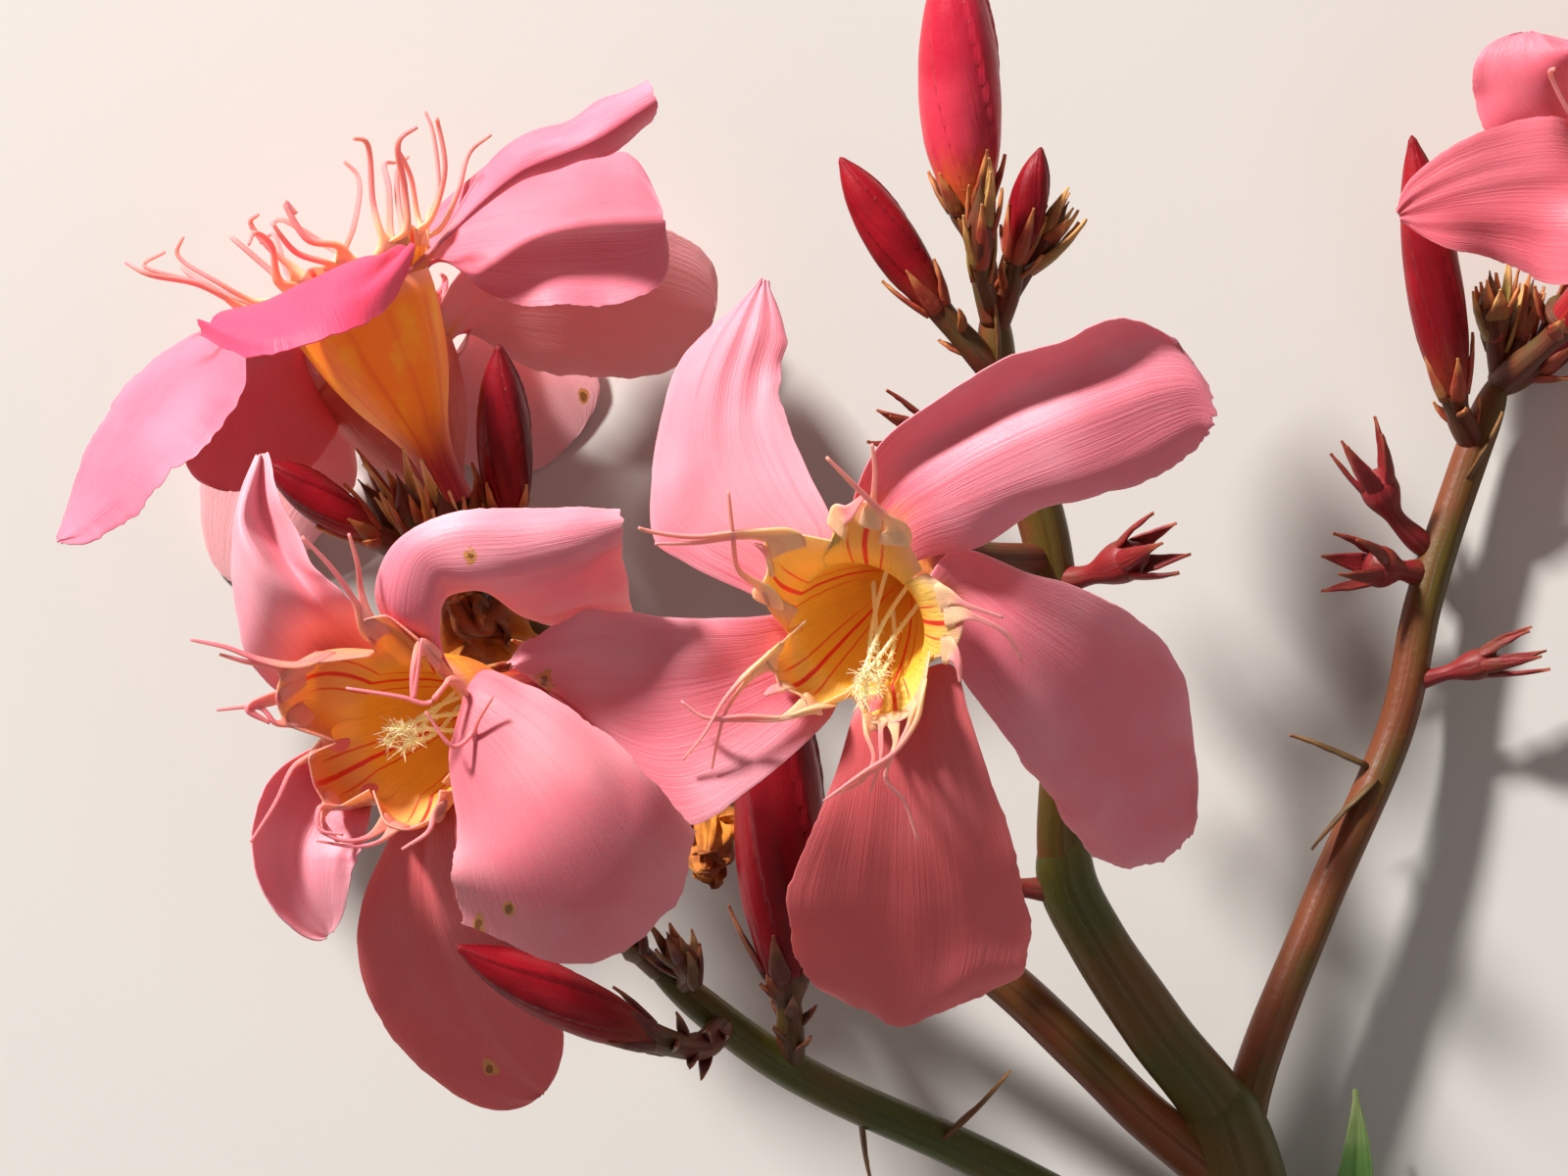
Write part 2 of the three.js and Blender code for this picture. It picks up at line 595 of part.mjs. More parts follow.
/** The stalk of an open bloom: it ends in a toothed cup that holds the foot of the funnel. */
function makeStalk({ bloom, way }, grow = 0) {
  const { foot, axis } = funnelFrame(BLOOMS[bloom]);
  const hollow = (FUNNEL_RADII[0] + GAP) / Math.cos(Math.PI / BODY_SIDES) + SEAT_SLACK;
  const wall = hollow + CALYX_WALL;
  const floor = foot.clone().addScaledVector(axis, -GAP - SEAT_SLACK);
  const below = floor.clone().addScaledVector(axis, -CALYX_FOOT);
  const points = [...way.map(seen), below, floor, floor.clone().addScaledVector(axis, CALYX_DEPTH)];
  const [cup, rim] = [way.length + 1, way.length + 2];
  const toothRadius = hollow + SEPAL_SPREAD;
  return turned(points, [
    { at: 0, radius: STALK_RADIUS * 0.9 },
    { at: 1, radius: STALK_RADIUS },
    { at: way.length, radius: STALK_RADIUS * 1.5 },
    { at: cup, radius: wall },
    { at: rim, radius: wall, tooth: SEPAL_LENGTH, toothRadius },
    {
      at: rim, radius: hollow, inner: true,
      tooth: SEPAL_LENGTH - SEAT_SLACK, toothRadius: toothRadius - SEPAL_THICKNESS,
    },
    { at: cup, radius: hollow, inner: true },
  ], BODY_SIDES, grow);
}

/** The stations of a profile on a body of this radius and length, from control point first on. */
function stationsOf(profile, first, radius, length) {
  return profile.map((station) => ({
    at: first + station.at,
    radius: radius * station.radius,
    tooth: length * (station.tooth ?? 0),
    toothRadius: radius * (station.toothRadius ?? station.radius),
  }));
}

/** A closed bud on its stalk, held by five pointed sepals. */
function makeBud({ way, foot, tip, radius }, grow = 0) {
  const points = [...way, foot, tip].map(seen);
  const length = points.at(-2).distanceTo(points.at(-1));
  const neck = Math.min(STALK_RADIUS, radius * BUD_NECK);
  return turned(points, [
    { at: 0, radius: neck },
    { at: way.length * BUD_NECK_SHARE, radius: neck },
    ...stationsOf(BUD_PROFILE, way.length, radius, length),
  ], BODY_SIDES, grow);
}

/** A bud still wrapped in its sepals, whose points stand off it. */
function makeYoungBud({ way, tip, radius }, grow = 0) {
  const points = [...way, tip].map(seen);
  const length = points.at(-2).distanceTo(points.at(-1));
  return turned(points, [
    { at: 0, radius: radius * YOUNG_NECK },
    ...stationsOf(YOUNG_PROFILE, way.length - 1, radius, length),
  ], YOUNG_SIDES, grow);
}

/** A calyx whose flower has dropped: a small cup with spread, pointed sepals. */
function makeSpentCalyx({ way, radius, horn }, grow = 0) {
  const flare = radius * SPENT_FLARE;
  return turned(way.map(seen), [
    { at: 0, radius: radius * SPENT_NECK },
    { at: 1, radius: radius * SPENT_WAIST },
    { at: 1.5, radius },
    { at: 2, radius: radius * SPENT_RIM, tooth: horn, toothRadius: flare },
    { at: 2, radius: radius * SPENT_HOLLOW, tooth: horn - SPENT_SEPAL, toothRadius: flare - SPENT_SEPAL },
    { at: 1.9, radius: radius * 0.3, inner: true },
  ], BODY_SIDES, grow);
}

function makeDried({ way, radii }, grow = 0) {
  const crumple = (angle, t) => 1 + DRIED_CRUMPLE * Math.sin(DRIED_LOBES * angle + DRIED_TWIST * t);
  return limb(way.map(seen), radii, { steps: 6, grow, shape: crumple });
}

function makeLeaf({ face, ...leaf }, grow = 0) {
  const root = seen(leaf.root);
  const bend = seen(leaf.bend);
  const upward = new THREE.Vector3(...face).normalize();
  return sheet({
    ...leaf, root, lead: bend.clone().sub(root).normalize(), bend, tip: seen(leaf.tip),
    centre: root.clone().add(upward), face: upward, rootWidth: 0.35, rootCurl: 0.3,
    thickness: LEAF_THICKNESS, steps: LEAF_STEPS, cells: LEAF_CELLS,
  }, grow);
}

function makeStem({ way, radii, sides = 8, steps = 6, bracts = [] }, grow = 0) {
  const stem = limb(way.map(seen), radii, { sides, steps, grow });
  const leaves = bracts.map((bract) => limb(bract.map(seen), BRACT_RADII, { sides: 4, steps: 1, grow }));
  return joined([stem, ...leaves]);
}

/** Keeps a solid's largest body, so that a cut leaves no loose scrap. */
function largest(body) {
  return body.decompose().reduce((kept, next) => (next.volume() > kept.volume() ? next : kept));
}

const spray = new THREE.Group();
const placed = [];

function boxesMeet(a, b) {
  return [0, 1, 2].every((axis) => a.min[axis] < b.max[axis] && b.min[axis] < a.max[axis]);
}

/** Adds one named piece. It gives way, with the clearance, to every piece that was placed before it. */
function place(name, make, plan, [colour, roughness]) {
  let body = make(plan);
  for (const earlier of placed) {
    if (boxesMeet(body.boundingBox(), earlier.boundingBox())) {
      body = body.subtract(earlier);
    }
  }
  const { vertProperties, triVerts } = largest(body).getMesh();
  const geometry = new THREE.BufferGeometry();
  geometry.setAttribute("position", new THREE.BufferAttribute(vertProperties, 3));
  geometry.setIndex(new THREE.BufferAttribute(triVerts, 1));
  geometry.computeVertexNormals();
  const material = new THREE.MeshStandardMaterial({ color: colour, roughness, metalness: 0 });
  const mesh = new THREE.Mesh(geometry, material);
  mesh.name = name;
  spray.add(mesh);
  placed.push(make(plan, GAP));
}

function placeAll(plans, make, finish) {
  Object.entries(plans).forEach(([name, plan]) => place(name, make, plan, finish));
}

placeAll(BLOOMS, makeBloom, COLOURS.petal);
placeAll(STEMS, makeStem, COLOURS.wood);
placeAll(STALKS, makeStalk, COLOURS.stalk);
placeAll(BUDS, makeBud, COLOURS.bud);
placeAll(YOUNG_BUDS, makeYoungBud, COLOURS.young);
placeAll(SPENT_CALYXES, makeSpentCalyx, COLOURS.spent);
placeAll(DRIED, makeDried, COLOURS.dried);
place("leaf_low", makeLeaf, LEAF, COLOURS.leaf);

// The origin is the middle of the spray's outline on the floor.
const box = new THREE.Box3().setFromObject(spray);
const middle = box.getCenter(new THREE.Vector3());
spray.position.set(-middle.x, -middle.y, -box.min.z);

export default spray;
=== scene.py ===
"""A cut flowering spray of oleander, lying on its side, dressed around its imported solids."""

import json
import logging
import math
from abc import ABC, abstractmethod
from dataclasses import dataclass, field
from enum import Enum

import bpy
import numpy as np
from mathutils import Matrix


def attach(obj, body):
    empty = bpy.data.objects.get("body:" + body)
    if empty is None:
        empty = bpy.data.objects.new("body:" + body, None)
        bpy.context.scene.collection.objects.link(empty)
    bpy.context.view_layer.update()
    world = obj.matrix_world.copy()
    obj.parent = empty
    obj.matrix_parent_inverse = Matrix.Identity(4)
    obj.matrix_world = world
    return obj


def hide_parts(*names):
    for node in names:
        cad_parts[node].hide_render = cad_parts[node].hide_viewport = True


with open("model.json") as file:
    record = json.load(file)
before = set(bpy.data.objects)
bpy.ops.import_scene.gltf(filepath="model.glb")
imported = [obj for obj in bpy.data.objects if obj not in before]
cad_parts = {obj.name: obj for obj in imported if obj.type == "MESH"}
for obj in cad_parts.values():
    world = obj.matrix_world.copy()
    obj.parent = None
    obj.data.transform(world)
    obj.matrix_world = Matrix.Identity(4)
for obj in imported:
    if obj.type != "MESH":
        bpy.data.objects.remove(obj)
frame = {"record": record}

Array = np.ndarray
Spot = tuple[float, float, float]
Colour = tuple[float, float, float]

LOG = logging.getLogger("oleander")
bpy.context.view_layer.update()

# Lengths are in millimetres until a mesh is made
MILLIMETRE = 0.001
TURN = 2 * math.pi
GOLDEN = 2.399963
PLAN_HEIGHT = 40.0
EYE_HEIGHT = 632.6
CUT_END = (36.3, -58.0, 3.45)
LOWEST = 0.05
LOWEST_SLOPE = 0.02

PETAL_COUNT = 5
PETAL_FLARE = math.radians(38)
PETAL_SINK = 0.45
PETAL_ROOT_SPAN = 0.62
FACE_AHEAD = 2.0

FUNNEL_RADII = (1.4, 1.3, 1.35, 1.95, 3.1, 4.0, 4.6, 5.1, 5.4)
RIM_RADIUS = FUNNEL_RADII[-1]
FUNNEL_WALL = 0.65
FUNNEL_INSET = 0.3
FUNNEL_RIB = 0.12
FUNNEL_ROWS = 48
FUNNEL_COLUMNS = 90
FUNNEL_BLUR = 9
THROAT_SHARE = 0.05
THROAT_ROWS = 32

LINING_INSET = 0.72
LINING_RIM = 0.55
LINING_STEPS = 60
LINING_SKIN = 0.14
LINING_PART = 2.0
LOBE_BLUR = 13
LOBE_LEAVE = 1.2
LOBE_KNOTS = (-1.0, -0.6, -0.3, 0.0, 0.3, 0.6, 1.0)
LOBE_REACH = (0.3, 3.0, 2.8, 3.6, 2.8, 3.0, 0.3)
SCALE_LEAN = math.radians(37)
HORN_LIFT = 0.08
HORN_ROOT_ROWS = (0.85, 0.96)
GROWN_HORN_ROOTS = (-0.6, -0.35, 0.35, 0.6)

STAMEN_RADII = (0.16, 0.11)
STAMEN_TWIST = 0.9
DOWN_COUNT = 130
DOWN_RADII = (0.05, 0.015)

SHEET_HANDLE = 0.3
SHEET_TURNED = 0.8
SHEET_CURLED = 0.35
SHEET_END_WIDTH = 0.1
LEAST_CURL = 0.02


class Slot(Enum):
    """The record's material slots."""

    PETALS = "petals"
    BARK = "stem_bark"
    STALK = "stalk_skin"
    BUD = "bud_skin"
    YOUNG = "young_sepals"
    SPENT = "spent_sepals"
    DRIED = "dried_petals"
    LEAF = "leaf_blade"


class Draw(Enum):
    """The kinds of piece that draw random numbers, each from a row of its own."""

    HORNS = 100
    STAMENS = 300
    BUD = 500
    YOUNG_BUD = 700
    CALYX = 900
    FLAPS = 1100

    def row(self, seed: int) -> np.random.Generator:
        """The random numbers of the piece with this seed."""
        return np.random.default_rng(self.value + seed)


# Arithmetic on whole arrays


def smooth(value: Array, low: float, high: float) -> Array:
    """Rises from 0 at low to 1 at high, flat at both ends: 3s^2 - 2s^3 of the share s."""
    share = np.clip((value - low) / (high - low), 0.0, 1.0)
    return share * share * (3.0 - 2.0 * share)


def unit(vectors: Array) -> Array:
    """Vectors scaled to length 1."""
    return vectors / np.maximum(np.linalg.norm(vectors, axis=-1, keepdims=True), 1e-9)


def mixed(first: Array, second: Array, share: Array) -> Array:
    """First at share 0, second at share 1."""
    return first + (second - first) * share


def profile(values: tuple[float, ...], share: Array) -> Array:
    """Values that stand at even steps, read at shares of the way along them."""
    return np.interp(share, np.linspace(0, 1, len(values)), values)


def eased(values: Array, weights: Array) -> Array:
    """Values evened out by a row of weights, odd in number, as if both ends carried on level."""
    return np.convolve(np.pad(values, len(weights) // 2, mode="edge"), weights / weights.sum(), mode="valid")


def corners_round(columns: int) -> Array:
    """Angles at even steps round a turn, half a step from its start."""
    return (np.arange(columns) + 0.5) / columns * TURN


def ripple(first: Array, second: Array, seed: int, terms: int = 6) -> Array:
    """A smooth seeded unevenness between about -1 and 1: a sum of sines of first and second.

    Args:
        first: A coordinate, in waves.
        second: A coordinate across it, in waves.
        seed: Picks the phases and the directions.
        terms: How many sines are added.

    Returns:
        The sum at each point.
    """
    rng = np.random.default_rng(seed)
    total = np.zeros(np.broadcast(first, second).shape)
    for _ in range(terms):
        turn = rng.uniform(0, TURN)
        pace = rng.uniform(0.5, 1.6)
        phase = rng.uniform(0, TURN)
        total = total + np.sin(TURN * pace * (math.cos(turn) * first + math.sin(turn) * second) + phase)
    return total / math.sqrt(terms) * 0.7


def leaning(axis: Array, radial: Array, angle: float) -> Array:
    """The direction that leans from axis towards radial by an angle."""
    return axis * math.cos(angle) + radial * math.sin(angle)


def seen(spot: Spot) -> Array:
    """A place on the plan, read from above, as a point in millimetres.

    The plan is measured on the level plane at PLAN_HEIGHT, so a place at another height moves in
    towards the eye's axis by its share of the way to the eye.

    Args:
        spot: The place on the plan, and its height.

    Returns:
        The point.
    """
    x, y, height = spot
    nearness = (EYE_HEIGHT - height) / (EYE_HEIGHT - PLAN_HEIGHT)
    return np.array([x * nearness, y * nearness, height])


def read_shift() -> Array:
    """From the plan's own middle to the part's, in millimetres, read off the cut end's mount."""
    mount = next(m for m in frame["record"]["mounts"] if m["name"] == "cut_end")
    return np.array(mount["pos_m"]) / MILLIMETRE - seen(CUT_END)


PLAN_SHIFT = read_shift()


def unseen(point: Array) -> Array:
    """The place on the plan of a point in space: what seen() undoes."""
    nearness = (EYE_HEIGHT - point[2]) / (EYE_HEIGHT - PLAN_HEIGHT)
    return np.array([point[0] / nearness, point[1] / nearness, point[2]])


@dataclass(frozen=True)
class Path:
    """A centripetal Catmull-Rom curve through points."""

    points: Array

    CHORDS = 60
    STEEP = 0.9

    def at(self, share: Array) -> tuple[Array, Array]:
        """Places and unit tangents at shares of the way, each span taking an equal share.

        On a span from b to c between the outer points a and d, the slopes at b and c weigh the
        chords by the square roots of their lengths, and a cubic joins them.

        Args:
            share: Values from 0 to 1.

        Returns:
            The points and the tangents.
        """
        knots = self.points
        ghosts = np.vstack([2 * knots[0] - knots[1], knots, 2 * knots[-1] - knots[-2]])
        place = np.clip(share, 0, 1) * (len(knots) - 1)
        span = np.minimum(place.astype(int), len(knots) - 2)
        local = (place - span)[:, None]
        a, b, c, d = (ghosts[span + k] for k in range(4))
        first, middle, last = (
            np.sqrt(np.linalg.norm(q - p, axis=1, keepdims=True)) for p, q in ((a, b), (b, c), (c, d))
        )
        into = ((b - a) / first - (c - a) / (first + middle) + (c - b) / middle) * middle
        out = ((c - b) / middle - (d - b) / (middle + last) + (d - c) / last) * middle
        square = -3 * b + 3 * c - 2 * into - out
        cube = 2 * b - 2 * c + into + out
        points = b + local * (into + local * (square + local * cube))
        return points, unit(into + local * (2 * square + 3 * local * cube))

    def frame(self, share: Array) -> tuple[Array, Array, Array, Array]:
        """Places, tangents, and two directions across the path that don't twist.

        Args:
            share: Values from 0 to 1.

        Returns:
            The points, the tangents, the normals and the binormals.
        """
        points, tangents = self.at(share)
        overall = unit(self.points[-1] - self.points[0])
        reference = np.array([0.0, 0.0, 1.0]) if abs(overall[2]) < self.STEEP else np.array([1.0, 0.0, 0.0])
        normals = unit(reference - tangents * (tangents @ reference)[:, None])
        return points, tangents, normals, np.cross(tangents, normals)

    @property
    def length(self) -> float:
        """Length along the curve, in millimetres."""
        points, _ = self.at(np.linspace(0, 1, self.CHORDS))
        return float(np.linalg.norm(np.diff(points, axis=0), axis=1).sum())

    def tube(self, share: Array, radius: Array, columns: int) -> tuple[Array, Array]:
        """Rings round the path: centre + radius (cos a . normal + sin a . binormal).

        Args:
            share: Where the rings stand on it.
            radius: A radius for each ring, or for each ring and column.
            columns: Corners of a ring.

        Returns:
            The rings, and the angle of each column.
        """
        points, _, normals, binormals = self.frame(share)
        angle = corners_round(columns)
        reach = np.broadcast_to(np.asarray(radius, float).reshape(len(share), -1), (len(share), columns))
        way = np.cos(angle)[:, None] * normals[:, None] + np.sin(angle)[:, None] * binormals[:, None]
        return points[:, None] + reach[:, :, None] * way, angle


# Meshes


MARKS = ("along", "across", "inner", "part", "tone")


@dataclass
class Shell:
    """A mesh gathered from closed lofts of rings, with values at its points for the finishes."""

    points: list[Array] = field(default_factory=list)
    quads: list[Array] = field(default_factory=list)
    finishes: list[Array] = field(default_factory=list)
    marks: dict[str, list[Array]] = field(default_factory=lambda: {name: [] for name in MARKS})
    count: int = 0

    def loft(self, rings: Array, finish: int = 0, **marks: Array | float) -> None:
        """Adds one closed solid: rings joined in order, each end closed by a strip of quads across it.

        The strip joins each column to the one that lies as far from the ring's last, so that the
        end of a bent blade stays as thin as the blade.

        Args:
            rings: Points, rows by columns by 3. Columns are even in number, and run anticlockwise
                about the way forward.
            finish: Which of the piece's finishes it wears.
            marks: Values of the named marks, rows by columns, or one for all.
        """
        rows, columns, _ = rings.shape
        index = self.count + np.arange(rows * columns).reshape(rows, columns)
        after = np.roll(index, -1, axis=1)
        sides = np.stack([index[:-1], after[:-1], after[1:], index[1:]], axis=-1).reshape(-1, 4)
        near, far = index[:, : columns // 2], index[:, : columns // 2 - 1 : -1]
        first = np.stack([near[0, 1:], near[0, :-1], far[0, :-1], far[0, 1:]], axis=-1)
        last = np.stack([near[-1, :-1], near[-1, 1:], far[-1, 1:], far[-1, :-1]], axis=-1)
        quads = np.vstack([sides, first, last])
        self.points.append(rings.reshape(-1, 3))
        self.quads.append(quads)
        self.finishes.append(np.full(len(quads), finish))
        for name in MARKS:
            values = np.broadcast_to(np.asarray(marks.get(name, 0.0), float), (rows, columns))
            self.marks[name].append(values.ravel())
        self.count += rows * columns

    def limb(self, path: Path, share: Array, radius: Array, columns: int, finish: int = 0,
             **marks: Array | float) -> None:
        """Adds a closed tube along a path, round which the mark across runs from -1 to 1.

        Args:
            path: What it follows.
            share: Where its rings stand on the path.
            radius: A radius for each ring, or for each ring and column.
            columns: Corners of a ring.
            finish: Which of the piece's finishes it wears.
            marks: Values of its other marks.
        """
        rings, angle = path.tube(share, radius, columns)
        self.loft(rings, finish, across=(angle / math.pi - 1)[None, :], **marks)

    def build(self, name: str, materials: list[bpy.types.Material]) -> bpy.types.Object:
        """Makes the Blender object, in metres, at the origin.

        Args:
            name: The piece's name.
            materials: Its finishes, in the order of their numbers.

        Returns:
            The new object.
        """
        points = np.vstack(self.points) + PLAN_SHIFT
        height = points[:, 2]
        points[:, 2] = np.maximum(height, LOWEST + LOWEST_SLOPE * height)
        points = points * MILLIMETRE
        quads = np.vstack(self.quads)
        mesh = bpy.data.meshes.new(name)
        mesh.vertices.add(len(points))
        mesh.vertices.foreach_set("co", points.astype(np.float32).ravel())
        mesh.loops.add(quads.size)
        mesh.loops.foreach_set("vertex_index", quads.ravel().astype(np.int32))
        mesh.polygons.add(len(quads))
        mesh.polygons.foreach_set("loop_start", np.arange(0, quads.size, 4, dtype=np.int32))
        mesh.update(calc_edges=True)
        mesh.polygons.foreach_set("material_index", np.concatenate(self.finishes).astype(np.int32))
        mesh.polygons.foreach_set("use_smooth", np.ones(len(quads), bool))
        for mark, values in self.marks.items():
            layer = mesh.attributes.new(mark, "FLOAT", "POINT")
            layer.data.foreach_set("value", np.concatenate(values).astype(np.float32))
        for material in materials:
            mesh.materials.append(material)
        mesh.validate()
        thing = bpy.data.objects.new(name, mesh)
        bpy.context.scene.collection.objects.link(thing)
        return thing


class Blade(ABC):
    """A thin closed blade: a middle surface with a skin on either side that thins to its margins."""

    thickness: float

    @abstractmethod
    def surface(self, t: Array, v: Array) -> tuple[Array, Array]:
        """The middle surface at t along it and v across it, and the ways its inner face looks."""

    @abstractmethod
    def taper(self, t: Array) -> Array:
        """The share of its thickness that is left at t along it."""

    def add_to(self, shell: Shell, rows: int, cells: int, finish: int = 0, part: float = 0.0,
               tone: float = 0.0) -> None:
        """Adds the blade to a shell, with steps that shorten by a sine towards its end and margins.

        Args:
            shell: What it becomes part of.
            rows: Steps along it.
            cells: Steps across it.
            finish: Which finish it wears.
            part: Its value of the mark part.
            tone: Its value of the mark tone.
        """
        t = np.sin(0.5 * math.pi * np.linspace(0, 1, rows + 1))[:, None]
        v = np.sin(0.5 * math.pi * np.linspace(-1, 1, cells + 1))[None, :]
        points, lift = self.surface(t, v)
        skin = 0.5 * self.thickness * np.sqrt(1 - 0.94 * v**6) * self.taper(t)
        add_blade(shell, points, lift, skin, t, v, finish, part, tone)


@dataclass(frozen=True)
class Sheet(Blade):
    """A blade whose midline is a cubic Bezier that leaves root along lead.

    It comes to tip from bend. Its inner face looks towards centre at the root and along face at the
    tip. Across it each half is an arc that curls by its own angle.
    """

    root: Array
    lead: Array
    bend: Array
    tip: Array
    centre: Array
    face: Array
    wide: tuple[float, float]
    curl: tuple[float, float]
    peak: tuple[float, float]
    blunt: float
    root_width: float = 0.4
    root_curl: float = 0.5
    thickness: float = 0.32
    ruffle: float = 0.0
    waves: float = 3.0
    ragged: float = 0.0
    groove: float = 0.0
    seed: int = 0

    def outline(self, t: Array, v: Array) -> Array:
        """Share of the full half width: it opens smoothly to its peak, and rounds off past it.

        The margin is rough by two seeded ripples.

        Args:
            t: Rows by 1.
            v: 1 by columns.

        Returns:
            The share at each point.
        """
        peak = np.where(v < 0, self.peak[0], self.peak[1])
        opening = self.root_width + (1 - self.root_width) * smooth(t / peak, 0, 1)
        run = np.clip((t - peak) / (1 - peak), 0, 1)
        ending = np.maximum((1 - run**self.blunt) ** (1 / self.blunt), SHEET_END_WIDTH)
        coarse = ripple(9 * t, np.sign(v), self.seed + 5, 8)
        fine = ripple(34 * t, np.sign(v), self.seed + 6, 6)
        rough = 1 + self.ragged * smooth(t, 0.3, 0.6) * (coarse + 0.5 * fine)
        return np.where(t < peak, opening, ending) * rough

    def surface(self, t: Array, v: Array) -> tuple[Array, Array]:
        """The blade's middle surface at t along it and v across it, from -1 to 1.

        With a the curl and h the half width there, a point lies h sin(av)/a aside and
        h (1 - cos(av))/a up from the midline. Ruffles grow with the square of v, a groove runs
        down the middle, and the end is rough like the margins.

        Args:
            t: Rows by 1.
            v: 1 by columns.

        Returns:
            The points, and the directions in which the inner face looks.
        """
        handle = self.root + self.lead * SHEET_HANDLE * np.linalg.norm(self.root - self.tip)
        b0, b1, b2, b3 = self.root, handle, self.bend, self.tip
        line = (1 - t) ** 3 * b0 + 3 * (1 - t) ** 2 * t * b1 + 3 * (1 - t) * t**2 * b2 + t**3 * b3
        slope = 3 * (1 - t) ** 2 * (b1 - b0) + 6 * (1 - t) * t * (b2 - b1) + 3 * t**2 * (b3 - b2)
        tangent = unit(slope)
        start = self.centre - self.root
        start = unit(start - self.lead * (start @ self.lead))
        normal = mixed(start, self.face, smooth(t, 0, SHEET_TURNED))
        normal = unit(normal - tangent * np.sum(normal * tangent, axis=1, keepdims=True))
        across = np.cross(tangent, normal)
        half = np.where(v < 0, self.wide[0], self.wide[1]) * self.outline(t, v)
        curl = mixed(self.root_curl, np.where(v < 0, self.curl[0], self.curl[1]), smooth(t, 0, SHEET_CURLED))
        curl = np.where(np.abs(curl) < LEAST_CURL, LEAST_CURL, curl)
        aside = half * np.sin(curl * v) / curl
        rise = half * (1 - np.cos(curl * v)) / curl
        grown = smooth(t, 0.12, 0.6)
        rise = rise + self.ruffle * grown * v * v * ripple(self.waves * t, 0.35 * np.sign(v), self.seed, 5)
        rise = rise + 0.25 * self.ruffle * grown * ripple(1.6 * v, 1.4 * t, self.seed + 1)
        sunk = np.exp(-((v / 0.13) ** 2)) * smooth(t, 0.0, 0.15) * (1 - smooth(t, 0.7, 1))
        rise = rise - self.groove * sunk
        end = 0.5 * smooth(t, 0.8, 1.0) * self.ragged * self.wide[0]
        coarse = ripple(2.5 * v, 0 * t, self.seed + 7, 6)
        forward = end * (coarse + 0.6 * ripple(7 * v, 0 * t, self.seed + 8))
        points = (
            line[:, None] + aside[..., None] * across[:, None] + rise[..., None] * normal[:, None]
            + forward[..., None] * tangent[:, None]
        )
        lift = np.cos(curl * v)[..., None] * normal[:, None] - np.sin(curl * v)[..., None] * across[:, None]
        return points, lift

    def taper(self, t: Array) -> Array:
        """The share of its thickness that is left at t along it."""
        return 1 - 0.4 * t**4


@dataclass(frozen=True)
class Drape(Blade):
    """A blade through lines that run from its root to its end, side by side."""

    lines: tuple[Array, ...]
    thickness: float = 0.32
    ruffle: float = 0.0
    ragged: float = 0.0
    seed: int = 0

    def surface(self, t: Array, v: Array) -> tuple[Array, Array]:
        """The blade's middle surface: each line read at t, then a curve across the lines read at v.

        The margin and the end wander by seeded ripples, and the surface is a little wavy.

        Args:
            t: Rows by 1, from 0 to 1.
            v: 1 by columns, from -1 to 1.

        Returns:
            The points, and the directions in which the inner face looks.
        """
        columns = np.stack([Path(line).at(t[:, 0])[0] for line in self.lines], axis=1)
        points = np.stack([Path(row).at(0.5 + 0.5 * v[0])[0] for row in columns])
        down, side = np.gradient(points, axis=0), np.gradient(points, axis=1)
        lift = unit(np.cross(side, down))
        grown = smooth(t, 0.15, 0.6)
        wave = grown * v**2 * ripple(3 * t, 0.35 * np.sign(v), self.seed, 5)
        wave = self.ruffle * (wave + 0.25 * grown * ripple(1.6 * v, 1.4 * t, self.seed + 1))
        coarse = ripple(7 * t, np.sign(v), self.seed + 5, 8)
        fine = ripple(24 * t, np.sign(v), self.seed + 6, 6)
        rough = self.ragged * smooth(t, 0.25, 0.6) * np.abs(v) ** 6 * (coarse + 0.35 * fine) * np.sign(v)
        coarse = ripple(2.5 * v, 0 * t, self.seed + 7, 6)
        end = self.ragged * smooth(t, 0.86, 1.0) * (coarse + 0.6 * ripple(8 * v, 0 * t, self.seed + 8))
        points = points + wave[..., None] * lift + rough[..., None] * unit(side)
        return points + end[..., None] * unit(down), lift

    def taper(self, t: Array) -> Array:
        """The share of its thickness that is left at t along it."""
        return np.sqrt(1 - 0.9 * t**8)


def add_blade(shell: Shell, points: Array, lift: Array, skin: Array, t: Array, v: Array,
              finish: int, part: float, tone: float = 0.0) -> None:
    """Adds a closed blade: the middle surface raised by lift times skin, and lowered by it.

    Args:
        shell: What it becomes part of.
        points: The middle surface, rows by columns.
        lift: The way its inner face looks at each point.
        skin: Half its thickness at each point.
        t: The mark along, rows by 1.
        v: The mark across, 1 by columns.
        finish: Which finish it wears.
        part: Its value of the mark part.
        tone: Its value of the mark tone.
    """
    skin = np.broadcast_to(skin, points.shape[:2])[..., None]
    rings = np.concatenate([points + skin * lift, (points - skin * lift)[:, ::-1]], axis=1)
    along = np.broadcast_to(t, points.shape[:2])
    across = np.broadcast_to(v, points.shape[:2])
    inner = np.ones_like(across)
    shell.loft(
        rings,
        finish,
        along=np.concatenate([along, along], axis=1),
        across=np.concatenate([across, across[:, ::-1]], axis=1),
        inner=np.concatenate([inner, 0 * inner], axis=1),
        part=part,
        tone=tone,
    )


